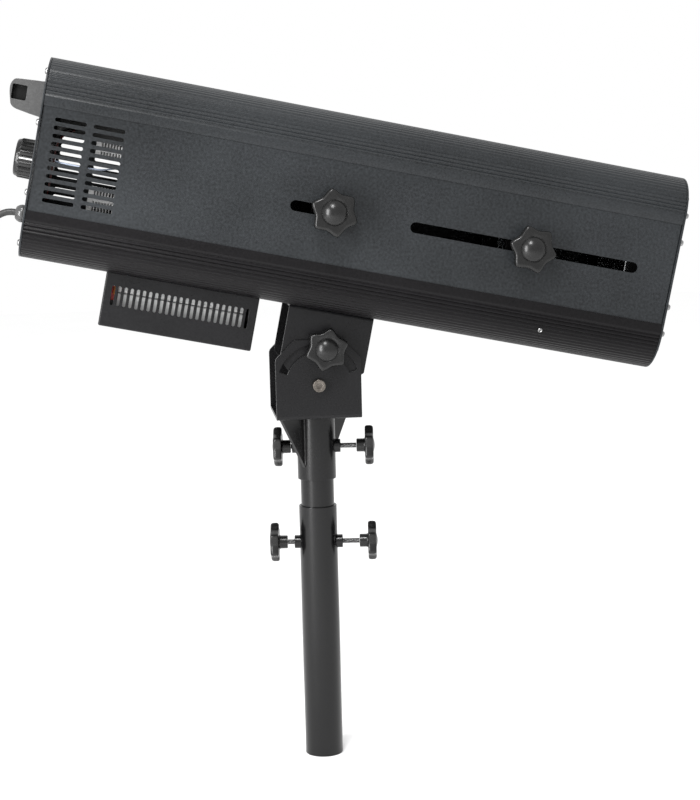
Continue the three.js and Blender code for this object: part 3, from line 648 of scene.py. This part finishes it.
def rear_handle():
    """Two feet on the rear plate with a grip bar between them, and a square screw pocket in each end."""
    side = [(0, -17), (0, 18.2), (-31.4, 16), (-34.9, 10.3), (-34.9, 3.4), (-31.8, -10.2), (-27, -13.2)]
    body = across(fillet(side, [0.5, 1.5, 3, 3, 4, 4, 4], 5, closed=True), -HANDLE_REACH, HANDLE_REACH)
    fingers = prism(rounded_rect(40, 88, 7, 6, 0, 0), -40, 40)
    pocket = across(rounded_rect(14.4, 14.6, 1.2, 4, -25.2, 3.3), -5, 8)
    far = pocket.copy()
    return cut(body, fingers, moved(pocket, at(0, -HANDLE_REACH, 0)), moved(far, at(0, HANDLE_REACH - 3, 0)))


def polygon(sides, circumradius):
    """The radius of a regular polygon, as a function of the angle."""
    step = TAU / sides
    return lambda a: circumradius * math.cos(step / 2) / math.cos((a % step) - step / 2)


def smaller(radius, by):
    return (lambda a: radius(a) - by) if callable(radius) else radius - by


def cable_gland():
    hexagon = polygon(6, 10.6)
    bevel = smaller(hexagon, 0.8)
    base = [(-9, 7.2), (-8.4, 7.8), (0, 7.8), (0, bevel), (0.5, hexagon), (5.4, hexagon), (6, bevel)]
    dome = [(6.2, 8.6), (6.6, 9.2), (8, 9.3), (9.6, 8.9), (11.4, 8.1), (12.6, 7.2)]
    mouth = [(13.6, 6.2), (14, 5.2), (13.8, 4.2), (13, LEAD + 0.3), (6, LEAD + 0.3)]
    flutes = lambda r: (lambda a: r - 0.35 * max(0.0, math.cos(12 * a)) ** 2)
    fluted = [(z, flutes(r)) for z, r in dome]
    return moved(loft(rings_at(base + fluted + mouth, 72)), TO_REAR)


piece("gland_body", cable_gland(), AXIS @ at(REAR_FACE - GAP, 0, GLAND_Z), "head", "cable_gland",
      "black_plastic", "handle_plastic")


def fluted_knob():
    flute = lambda r, depth: (lambda a: r - depth * (0.5 + 0.5 * math.cos(18 * a)) ** 3)
    profile = [(8.9, 3.2), (0.3, 3.2), (0, 3.6), (0, flute(19.6, 1.2)), (0.7, flute(20.5, 1.3)),
               (15.4, flute(20.2, 1.3)), (16.6, flute(19.6, 0.9)), (17.2, 19.0), (19.2, 18.6), (20.4, 17.6),
               (20.9, 16.2), (20.6, 14.8), (20.2, 14.4), (20.2, 0)]
    return moved(loft(rings_at(profile, 144)), TO_REAR)


KNOB = AXIS @ at(REAR_FACE - 2.4, 0, DIMMER_Z)
piece("knob_body", fluted_knob(), KNOB, "dimmer", "dimmer_knob", "black_plastic", "gloss_plastic")
pointer = gathered(block(-20.9, -20.1, -13.6, -4, -0.7, 0.7, 0.2),
                   block(-16, -1.5, -20.8, -19.9, -0.7, 0.7, 0.2))
piece("knob_mark", pointer, KNOB, "dimmer", (), "black_plastic", "white_mark")
shaft = drum(9, -14.3, 3, 0.4, 32)
pot = fused(moved(shaft, TO_REAR), block(4.3, 16.3, -8, 8, -8, 8, 0.8))
piece("dimmer_pot", pot, AXIS @ at(REAR_FACE, 0, DIMMER_Z), "head", "dimmer_control", "bright_steel")


def hex_screw(radius, height, socket, steps=48):
    """A button head with a hexagon socket, standing on z 0."""
    hexagon = polygon(6, socket)
    profile = [(0, radius - 0.2), (0.25, radius), (height * 0.35, radius), (height * 0.72, radius * 0.9),
               (height * 0.95, radius * 0.72), (height, smaller(hexagon, -0.35)), (height - 0.25, hexagon),
               (height * 0.3, hexagon), (height * 0.2, 0)]
    return loft(rings_at(profile, steps))


piece("handle_body", rear_handle(), HANDLE, "head", "rear_handle", "black_plastic", "handle_plastic",
      edge=1.0)
# Painted shade: a matt black pad on the floor of each end pocket darkens the pocket where shade falls; it is
# not a part of the handle.
for where, y in [("near", -HANDLE_REACH + 5), ("far", HANDLE_REACH - 8)]:
    pocket_shade_pad = block(-31.9, -18.5, y, y + 2.8, -3.5, 10.1, 0.4)
    piece(f"handle_pocket_painted_shade_{where}", pocket_shade_pad, HANDLE, "head", (), "black_plastic", "matt_black")

for side, where in [(-1, "near"), (1, "far")]:
    for sign, level in [(1, "top"), (-1, "bottom")]:
        y = side * (HALF_WIDTH - 5)
        front = AXIS @ at(FRONT_FACE + GAP, y, sign * 33)
        piece(f"front_{where}_{level}_cap", hex_screw(3.2, 3.0, 1.6), front @ TO_FRONT, "head",
              f"front_screw_{where}_{level}", "bright_steel")
        for row, (inset, up) in enumerate([(5, 60.5), (15, 77)]):
            front = AXIS @ at(FRONT_FACE, side * (HALF_WIDTH - inset), sign * up)
            piece(f"front_{where}_{level}_{row}", hex_screw(3.0, 3.0, 1.5), front @ TO_FRONT, "head", (),
                  "bright_steel")
        for row, (inset, up) in enumerate([(6, 34), (17, 84)]):
            rear = AXIS @ at(REAR_FACE, side * (HALF_WIDTH - inset), sign * up)
            piece(f"rear_{where}_{level}_{row}", hex_screw(3.2, 2.4, 1.6), rear @ TO_REAR, "head", (),
                  "bright_steel")

SEAM_SCREW = 28  # degrees below level, round the lower shell's corner
for side, where in [(-1, "near"), (1, "far")]:
    lean = math.radians(SEAM_SCREW)
    y = side * (HALF_WIDTH - CORNER + (CORNER - 0.4) * math.cos(lean))
    z = -(HALF_HEIGHT - CORNER + (CORNER - 0.4) * math.sin(lean))
    place = AXIS @ at(205, y, z) @ turned_by(-side * (90 + SEAM_SCREW), "X")
    piece(f"lower_shell_screw_{where}", hex_screw(2.6, 1.8, 1.3), place, "head", (), "bright_steel")

# ---- fan, lying flat above the fin stacks ----
FAN_DEPTH = 25
FAN = AXIS @ at(-257, 0, 27.6)


def fan_frame():
    body = prism(rounded_rect(92, 92, 6, 6), 0, FAN_DEPTH)
    body = cut(body, prism(round_hole(0, 0, 43.5, 72), -2, FAN_DEPTH + 2))
    for i in range(4):
        arm = block(15, 44.6, -2.2, 2.2, FAN_DEPTH - 3, FAN_DEPTH - 0.2, 0.4)
        body = fused(body, moved(arm, turned_by(45 + 90 * i, "Z")))
    return fused(body, drum(FAN_DEPTH - 4, FAN_DEPTH, 17, 0.8))


piece("fan_housing", fan_frame(), FAN, "head", "fan_frame", "soft_plastic", edge=0.4)


def fan_rotor():
    """A domed hub with seven swept, twisted blades."""
    low, high = 1, FAN_DEPTH - 4.7
    middle = (low + high) / 2
    body = drum(low, high, 16, 1.6)
    for blade in range(7):
        rings = []
        for i in range(9):
            r = 14.5 + 27 * i / 8
            sweep = 0.42 * (i / 8) ** 1.4
            pitch = math.radians(52 - 22 * i / 8)
            chord = 8.0 + 5.0 * i / 8
            section = []
            for reach, thick in [(-1, 0.3), (-0.4, 0.9), (0.3, 0.9), (1, 0.35), (0.3, -0.5), (-0.4, -0.5)]:
                rise = reach * chord * math.sin(pitch) + thick * math.cos(pitch)
                around = reach * chord * math.cos(pitch) - thick * math.sin(pitch)
                a = TAU * blade / 7 + sweep + around / max(r, 20)
                section.append((r * math.cos(a), r * math.sin(a), middle + min(max(rise, -9), 9)))
            rings.append(section)
        body = fused(body, loft(rings))
    return body


piece("fan_blades", fan_rotor(), FAN, "fan", "fan_rotor", "soft_plastic", smooth=40)

# ---- loose wiring between the rear plate and the light engine ----
for name, colour, radius, points in [
        ("wire_red", "red_wire", 1.1,
         [(-302, -60, -50), (-300, -80, -34), (-299, -86, -8), (-297, -80, 20), (-284, -60, 34)]),
        ("wire_dark", "lead_rubber", 1.5,
         [(-306, -40, -50), (-304, -74, -30), (-303, -88, 0), (-300, -80, 24), (-288, -64, 34)]),
        ("wire_pale", "pale_wire", 0.8,
         [(-308, -50, 4), (-297, -84, 0), (-280, -91, -0.8), (-256, -90, -0.6), (-236, -70, 4)])]:
    piece(name, wire(points, radius), AXIS, "head", (), "lead_rubber", colour)

# ---- light engine ----
BASE_X = -196 + GAP  # the rear face of the LED's base
PHOSPHOR = AXIS @ at(BASE_X + 10.35, 0, 0)
for node, slot in [("upper_fin_stack", "bare_aluminium"), ("lower_fin_stack", "bare_aluminium"),
                   ("led_base", "bare_aluminium"), ("gate_plate", "lower_coat")]:
    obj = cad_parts[node]
    obj.data.materials.clear()
    obj.data.materials.append(MATERIALS[slot])

board = block(BASE_X + 8.3, BASE_X + 10.3, -20, 20, -20, 20, 0.3)
dam = turn(fillet([(10.2, 0), (12, 0), (12, 1.4), (10.2, 1.4)], 0.4, closed=True), 64, loop=True)
phosphor = turn(fillet([(0, 0), (10.4, 0), (10.4, 1), (0, 1.1)], 0.3), 64)
piece("led_plate", board, AXIS, "head", "led_module", "led_face", "led_board")
piece("led_phosphor", moved(phosphor, TO_FRONT), PHOSPHOR, "head", (), "led_face")
piece("led_dam", moved(dam, TO_FRONT), PHOSPHOR, "head", (), "led_face", "led_board")


def reflector():
    """A deep bowl with a flat rim, open at both ends."""
    outer, inner = [], []
    for i in range(13):
        t = i / 12
        inner.append((14 + 32 * t ** 0.72, 52 * t))
        outer.append((11.8 + 31.7 * t ** 0.72, 55 * t))
    return inner + [(52, 52), (52, 55)] + outer[::-1]


piece("reflector_bowl", turn(reflector(), 96, loop=True), AXIS @ at(BASE_X + 13, 0, 0) @ TO_FRONT, "head",
      "reflector", "mirror_face")

GUIDE_Y, GUIDE_Z = 84, -30
for side, where in [(-1, "near"), (1, "far")]:
    piece(f"{where}_rod", rod(-114.5, HEAD_FRONT - 12, 4, 0.5, 32), AXIS @ at(0, side * GUIDE_Y, GUIDE_Z),
          "head", f"{where}_guide_rod", "bright_steel")


# ---- lens carriages and their grips ----
def carriage(lens_radius):
    """A ring for the lens, with an ear on each guide rod and a boss for the grip's stud."""
    rim, hole = lens_radius + 7, lens_radius + GAP
    holder = fillet([(hole, -18), (rim, -18), (rim, 4), (hole, 4), (hole, 3.6), (hole - 2, 3.6),
                     (hole - 2, 2.9), (hole, 2.9)], [0.4, 0.8, 0.8, 0, 0, 0, 0, 0], closed=True)
    body = moved(turn(holder, 96, loop=True), TO_FRONT)
    for side in (-1, 1):
        low, high = sorted((side * (lens_radius + 2.5), side * 92))
        body = fused(body, block(-10, 4, low, high, GUIDE_Z - 7, GUIDE_Z + 7, 0.8))
        body = cut(body, moved(rod(-20, 20, 4.4, 0, 32), at(0, side * GUIDE_Y, GUIDE_Z)))
    body = fused(body, block(-8, 4, -95.2, -lens_radius - 2.5, -8, 8, 0.8))
    return cut(body, moved(rod(-97, -78, 4, 0, 32), turned_by(90, "Z")))


def lens(radius, edge, crown):
    """A plano-convex lens that bulges to the front by crown."""
    half = edge / 2
    profile = [(0, -half), (radius - 0.5, -half), (radius, -half + 0.5), (radius, half - 0.3)]
    for i in range(25):
        r = (radius - 0.4) * (1 - i / 24)
        profile.append((r, half + crown * (1 - (r / radius) ** 2)))
    return moved(turn(profile, 96), TO_FRONT)


def star_grip(reach, disc, hub, hub_length, dome, dome_height, turn_degrees, lobes=6):
    """A moulded star knob on Z: a round hub, a scalloped disc with soft edges, and a smooth dome on it."""
    steps = 144
    scallop = reach * 0.2
    phase = math.radians(turn_degrees)

    def lobed(scale, blend=1.0, middle=0.0):
        def radius(a):
            dip = scallop * abs(math.sin(lobes * (a - phase) / 2)) ** 1.3
            return blend * scale * (reach - dip) + (1 - blend) * middle
        return radius

    top = hub_length + disc
    profile = [(0, hub - 0.8), (0.2, hub - 0.3), (0.8, hub), (hub_length - 1.6, hub),
               (hub_length - 0.5, hub + 0.5), (hub_length, hub + 1.6), (hub_length, lobed(0.9)),
               (hub_length + 0.4, lobed(0.95)), (hub_length + 1.3, lobed(0.988)),
               (hub_length + 2.6, lobed(1.0)), (top - 3.4, lobed(1.0)), (top - 1.8, lobed(0.985)),
               (top - 0.7, lobed(0.945)), (top - 0.1, lobed(0.88)), (top, lobed(0.8)),
               (top - 0.2, lobed(0.8, 0.5, dome + 1.6)), (top - 0.4, dome + 0.9), (top - 0.7, dome + 0.5),
               (top - 0.7, dome + 0.1), (top - 0.5, dome)]
    cap = (dome ** 2 + dome_height ** 2) / (2 * dome_height)
    for i in range(1, 10):
        r = dome * math.cos(i / 9 * math.pi / 2) if i < 9 else 0
        profile.append((top - 0.3 + dome_height - cap + math.sqrt(cap ** 2 - r ** 2), r))
    return loft(rings_at(profile, steps))


THREAD_PITCH = 1.25


def helix(z, radius, depth):
    """The radius of a thread's groove at one height, as a function of the angle."""
    return lambda a: radius - depth * (0.5 + 0.5 * math.cos(TAU * z / THREAD_PITCH - a)) ** 0.8


def thread(low, high, radius, depth=0.65):
    """A threaded rod on Z: its surface is one helix, with a flat face at each end."""
    profile = [(low, radius - depth)]
    count = max(int((high - low) / THREAD_PITCH * 6), 6)
    for i in range(count + 1):
        z = low + 0.4 + (high - low - 0.8) * i / count
        profile.append((z, helix(z, radius, depth)))
    profile.append((high, radius - depth))
    return loft(rings_at(profile, 24))


def screw(name, node, body, place, knob, stud):
    """A grip and its stud, which turn together."""
    piece(f"{name}_knob", knob, place, body, f"{node}_grip", "black_plastic")
    piece(f"{name}_thread", stud, place, body, f"{node}_stud", "bright_steel")


TO_NEAR = turned_by(90, "X")
for name, x, radius, crown, grip_turn in [("focus", -23, 52, 9, 47), ("zoom", 178, 62, 12, 54)]:
    place = AXIS @ at(x, 0, 0)
    piece(f"{name}_holder", carriage(radius), place, f"{name}_slide", f"{name}_carriage", "lower_coat",
          edge=0.25)
    piece(f"{name}_glass", lens(radius, 5, crown), place, f"{name}_slide", f"{name}_lens", "clear_glass")
    near = place @ at(0, -103.2, 0) @ TO_NEAR
    screw(name, name, f"{name}_screw", near, star_grip(24.2, 9, 9, 9, 12.2, 6, grip_turn),
          thread(-20.2, -0.1, 3.7))

# ---- driver box ----
UNDERSIDE = AXIS_Z - HALF_HEIGHT
BOX_REAR, BOX_FRONT = -231, -76
BOX_TOP = UNDERSIDE - GAP
BOX_LOW = BOX_TOP - 54
BOX_SLOTS, BOX_SLOT_PITCH = 23, 6.17


def driver_box():
    """An open-topped box of folded sheet with a row of upright slots through both long sides."""
    outer = block(BOX_REAR, BOX_FRONT, -62, 62, BOX_LOW, BOX_TOP + 3, 1.6, 3)
    outer = cut(outer, block(BOX_REAR - 5, BOX_FRONT + 5, -70, 70, BOX_TOP, BOX_TOP + 9))
    inner = block(BOX_REAR + 1.5, BOX_FRONT - 1.5, -60.5, 60.5, BOX_LOW + 1.5, BOX_TOP + 9, 0.6)
    middle = (BOX_REAR + BOX_FRONT) / 2
    slots = []
    for i in range(BOX_SLOTS):
        x = middle + (i - (BOX_SLOTS - 1) / 2) * BOX_SLOT_PITCH
        slots.append(across(rounded_rect(3.1, 20, 1.5, 5, x, BOX_LOW + 32), -80, 80))
    return cut(outer, inner, gathered(*slots))


piece("driver_cover", driver_box(), HEAD, "head", "driver_box", "lower_coat", "stand_coat", edge=0.25)
DRIVER_TOP = UNDERSIDE - 6
CASE_REAR, CASE_FRONT = BOX_REAR + 14, BOX_FRONT - 10
case = gathered(
    block(CASE_REAR + 0.4, CASE_FRONT - 0.4, -45.5, 45.5, DRIVER_TOP - 38, DRIVER_TOP - 14.3, 0.5),
    block(CASE_REAR, CASE_FRONT, -46, 46, DRIVER_TOP - 13.3, DRIVER_TOP, 0.8, 3))
flange = block(CASE_REAR, CASE_FRONT, -45.8, 45.8, DRIVER_TOP - 40, DRIVER_TOP - 38.6, 0.4)
piece("driver_can", case, HEAD, "head", "driver_unit", "driver_case")
piece("driver_base", flange, HEAD, "head", (), "driver_case")

# The terminal block: five poles on a foot, with a wire from each.
POLE_REAR, POLE_FRONT = BOX_REAR + 4, BOX_REAR + 12
POLES, POLE_PITCH = 5, 6.4
poles = []
for i in range(POLES):
    y = -50 + POLE_PITCH * i
    poles.append(block(POLE_REAR, POLE_FRONT, y, y + 5.8, DRIVER_TOP - 22, DRIVER_TOP - 14, 0.8))
piece("terminal_poles", gathered(*poles), HEAD, "head", "terminal_block", "red_block")
foot = block(POLE_REAR, POLE_FRONT, -50, -18.6, DRIVER_TOP - 38, DRIVER_TOP - 22.3, 0.8)
piece("terminal_base", foot, HEAD, "head", (), "lead_rubber")


def driver_wire(name, radius, colour, route):
    """A wire from a pole into the driver. Its route is measured from the box's rear and the driver's top."""
    points = [(BOX_REAR + x, y, DRIVER_TOP + z) for x, y, z in route]
    piece(name, wire(points, radius), HEAD, "head", (), "red_block", colour)


for i in range(POLES):
    y = -47.1 + POLE_PITCH * i
    driver_wire(f"driver_wire_{i}", 2.2, "bright_red_wire",
                [(7.6, y, -16), (7.4, y, -8), (8, y, -1), (15, y + 2, 2.6), (34, y + 8, 2.8)])
driver_wire("driver_wire_orange", 1.5, "orange_wire",
            [(11, -50, -16), (11.2, -50.5, -8), (12, -50, 0.5), (18, -47, 3), (34, -42, 3.2)])

# ---- tilting bracket ----
LEG_OUTER = 46.7
PLATE = 3  # the sheet's thickness
BRACKET_HALF = 44  # half of each bracket's length
BOLT_HOLE = 4.3
LOCK_RADIUS = 38.5  # from the pivot to the tilt lock's stud


def folded(width, low, high, bend_low):
    """A channel along X from folded sheet: its web is at low when bend_low, otherwise at high."""
    half = width / 2
    inside = half - PLATE
    if bend_low:
        points = [(half, high), (half, low), (-half, low), (-half, high), (-inside, high),
                  (-inside, low + PLATE), (inside, low + PLATE), (inside, high)]
    else:
        points = [(half, low), (half, high), (-half, high), (-half, low), (-inside, low),
                  (-inside, high - PLATE), (inside, high - PLATE), (inside, low)]
    section = fillet(points, [0, 4.2, 4.2, 0, 0, 1.4, 1.4, 0], 6, closed=True)
    return along(section, -BRACKET_HALF, BRACKET_HALF)


def upper_bracket():
    """A channel under the head, with round-ended legs."""
    top = UNDERSIDE - GAP
    channel = folded(2 * LEG_OUTER, -14, top, False)
    side = [(-BRACKET_HALF, top + 1), (-BRACKET_HALF, 20)]
    for i in range(25):
        a = math.pi + i / 24 * math.pi
        side.append((24 * math.cos(a), 24 * math.sin(a)))
    side += [(BRACKET_HALF, 20), (BRACKET_HALF, top + 1)]
    channel = joined(channel, across(side, -60, 60), "INTERSECT")
    bolt = across(round_hole(0, 0, BOLT_HOLE), -70, 70)
    lock = across(round_hole(0, LOCK_RADIUS, BOLT_HOLE), -70, 0)
    return cut(channel, bolt, lock)


piece("hanger_bracket", upper_bracket(), HEAD, "head", "upper_bracket", "lower_coat", "stand_coat",
      edge=0.35)
screw("lock", "tilt_lock", "tilt_screw", HEAD @ at(0, -52, LOCK_RADIUS) @ TO_NEAR,
      star_grip(22.5, 9, 8.5, 6, 11.5, 5.5, 28), thread(-13.3, -0.3, 4))

# ---- lower bracket with its pivot ----
YOKE_BOTTOM = 369
YOKE_HALF = 50


def lower_bracket():
    """A channel on the sleeve, with cut corners and the tilt lock's curved slot in its near leg."""
    shoulder, top = PIVOT_Z + 27.5, PIVOT_Z + 47
    channel = folded(2 * YOKE_HALF, YOKE_BOTTOM, top, True)
    half, tip, foot = BRACKET_HALF, BRACKET_HALF - (top - shoulder), YOKE_BOTTOM - 1
    side = [(-half, foot), (half, foot), (half, shoulder), (tip, top), (-tip, top), (-half, shoulder)]
    side = fillet(side, [0, 0, 3, 3, 3, 3], 4, closed=True)
    channel = joined(channel, across(side, -60, 60), "INTERSECT")
    arc = []
    reach, steps = math.radians(70), 40
    for radius, order in [(43, 1), (34, -1)]:
        for i in range(steps + 1):
            a = order * (-reach + i / steps * 2 * reach)
            arc.append((radius * math.sin(a), PIVOT_Z + radius * math.cos(a)))
    bolt = across(round_hole(0, PIVOT_Z, BOLT_HOLE), -70, 70)
    return cut(channel, across(arc, -70, -10), bolt)


piece("yoke_bracket", lower_bracket(), WORLD, "yoke", "lower_bracket", "lower_coat", "stand_coat", edge=0.35)


def pivot_bolt():
    """A socket cap screw with a threaded end."""
    hexagon = polygon(6, 3.6)
    profile = [(3.2, 0), (3.6, hexagon), (6.9, hexagon), (7.3, 4.2), (7.3, 5.9), (6.9, 6.4), (6.2, 6.6),
               (0.6, 6.6), (0.3, 6.3), (0.3, 4.05), (-100, 4.05)]
    for i in range(46):
        z = -100 - i * 0.2
        profile.append((z, helix(z, 4.0, 0.6)))
    profile.append((-109, 3.2))
    return loft(rings_at(profile, 48))


PIVOT = at(0, -YOKE_HALF, PIVOT_Z) @ TO_NEAR
piece("pivot_screw", pivot_bolt(), PIVOT, "yoke", "pivot_bolt", "bright_steel", "dull_steel")


def lock_nut():
    hexagon = polygon(6, 7.4)
    profile = [(0.3, 4.3), (0.3, smaller(hexagon, 0.7)), (0.9, hexagon), (4.6, hexagon),
               (5.2, smaller(hexagon, 0.6)), (5.3, 6.1), (6.3, 6.0), (6.8, 5.4), (6.8, 4.3)]
    return loft(rings_at(profile, 72), caps=False, loop=True)


piece("pivot_lock_nut", lock_nut(), at(0, YOKE_HALF, PIVOT_Z) @ turned_by(-90, "X"), "yoke", "pivot_nut",
      "bright_steel", "dull_steel")

# ---- tubes ----
TUBE_OUTER, TUBE_INNER, INNER_TUBE, SLEEVE_OUTER = 20, 17.8, 17.5, 20.2  # radii
SLEEVE_BOTTOM, LOWER_TOP = 299.6, 270.8
UPPER_CLAMP, LOWER_CLAMP = 333.7, 231


def pipe(low, high, outer, inner, edge=0.5):
    profile = fillet([(inner, low), (outer, low), (outer, high), (inner, high)], edge, 3, closed=True)
    return turn(profile, 96, loop=True)


CLAMPS = turned_by(-7, "Z")
GUSSETS = (-135, 45)  # degrees round the sleeve


def boss(side, z):
    """A round threaded boss on the left (-1) or right (1) of a tube."""
    return moved(rod(16, 25.6, 7, 0.8, 48), at(0, 0, z) @ CLAMPS @ turned_by(90 - 90 * side, "Z"))


def gusset(turn_degrees):
    """A triangular rib between the sleeve and the bracket's underside."""
    top = YOKE_BOTTOM - GAP
    corners = [(17, top), (56, top), (54, top - 3), (20, 313), (17, 313)]
    body = across(fillet(corners, [0, 0.6, 1.5, 1.5, 0], 3, closed=True), -1.75, 1.75)
    bmesh.ops.recalc_face_normals(body, faces=body.faces)
    return moved(body, turned_by(turn_degrees, "Z"))


def weld(turn_degrees, side):
    """The fillet of weld metal along one side of a gusset's foot."""
    rings = []
    for i in range(27):
        z = 316 + i * 2
        swell = 1.4 + 0.12 * math.sin(i * 1.9)
        rings.append([(20.1 + swell * math.cos(a), side * 1.7 + swell * math.sin(a), z) for a in angles(10)])
    return moved(loft(rings), turned_by(turn_degrees, "Z"))


def clamp_bores(z):
    return moved(rod(-60, 60, 3.4, 0, 32), at(0, 0, z) @ CLAMPS)


def socket_sleeve():
    solid = drum(SLEEVE_BOTTOM, YOKE_BOTTOM - GAP, SLEEVE_OUTER, [0, 0.6, 0.2, 0], 96)
    body = fused(solid, boss(1, UPPER_CLAMP), boss(-1, UPPER_CLAMP), *[gusset(g) for g in GUSSETS])
    for direction in GUSSETS:
        body = fused(body, weld(direction, -1), weld(direction, 1))
    return cut(body, drum(250, 400, TUBE_INNER, 0, 96), clamp_bores(UPPER_CLAMP))


def lower_tube():
    solid = drum(0, LOWER_TOP, TUBE_OUTER, [0, 0.4, 0.7, 0], 96)
    body = fused(solid, boss(1, LOWER_CLAMP), boss(-1, LOWER_CLAMP))
    return cut(body, drum(-5, 300, TUBE_INNER, 0, 96), clamp_bores(LOWER_CLAMP))


piece("sleeve_body", socket_sleeve(), WORLD, "yoke", "socket_sleeve", "lower_coat", "tube_coat", edge=0.3,
      smooth=36)
piece("mast_tube", pipe(45, YOKE_BOTTOM - 1.2, INNER_TUBE, INNER_TUBE - 1.6), WORLD, "mast", "inner_tube",
      "lower_coat", "tube_coat")
piece("stand_tube", lower_tube(), WORLD, "stand", "lower_tube", "lower_coat", "tube_coat", edge=0.3,
      smooth=36)
cup = fillet([(0, 0), (17.5, 0), (17.5, 14), (15, 14), (15, 3), (0, 3)], [0, 0.8, 0.6, 0.6, 0.6, 0])
piece("foot_cap", turn(cup, 72), WORLD, "stand", "foot_plug", "soft_plastic")

for name, side, z, reach in [("sleeve_left", -1, UPPER_CLAMP, 27), ("sleeve_right", 1, UPPER_CLAMP, 42.5),
                             ("tube_left", -1, LOWER_CLAMP, 33), ("tube_right", 1, LOWER_CLAMP, 43.5)]:
    place = at(0, 0, z) @ CLAMPS @ at(side * reach, 0, 0) @ turned_by(90 * side, "Y")
    screw(name, name, name, place, star_grip(21, 9, 7, 9, 8, 1.6, 0),
          thread(INNER_TUBE + GAP - reach, -0.3, 3))

# ---- floor and light ----
def studio():
    """A plain white floor, an even white surround and three soft lights."""
    mesh = bpy.data.meshes.new("floor")
    bm = bmesh.new()
    bmesh.ops.create_grid(bm, x_segments=2, y_segments=2, size=6)
    bm.to_mesh(mesh)
    bm.free()
    floor = bpy.data.objects.new("floor", mesh)
    floor.location = (0, 0, -0.5 * MM)
    bpy.context.scene.collection.objects.link(floor)
    mesh.materials.append(surface("floor_white", grey(0.965), grey(0.98), (0.8, 0.9), 4, 0.0, specular=0))
    world = bpy.data.worlds.new("studio")
    bpy.context.scene.world = world
    world.use_nodes = True
    background = world.node_tree.nodes["Background"]
    background.inputs["Color"].default_value = (1, 1, 1, 1)
    background.inputs["Strength"].default_value = 1.0
    for name, place, aim, size, power in [  # metres and watts
            ("key", (-0.4, -1.4, 2.3), (0, 0, 0.6), (0.5, 0.5), 36),
            ("left", (-1.25, -1.1, 0.75), (-0.05, 0, 0.5), (0.4, 1.2), 34),
            ("top", (0.0, 0.6, 2.2), (0, 0, 0.6), (1.2, 1.2), 2)]:
        light = bpy.data.lights.new(name, "AREA")
        light.shape = "RECTANGLE"
        light.size, light.size_y = size
        light.energy = power
        obj = bpy.data.objects.new(name, light)
        facing = (Vector(aim) - Vector(place)).to_track_quat("-Z", "Y")
        obj.matrix_world = Matrix.Translation(place) @ facing.to_matrix().to_4x4()
        bpy.context.scene.collection.objects.link(obj)
    bpy.context.scene.view_settings.view_transform = "Standard"


studio()
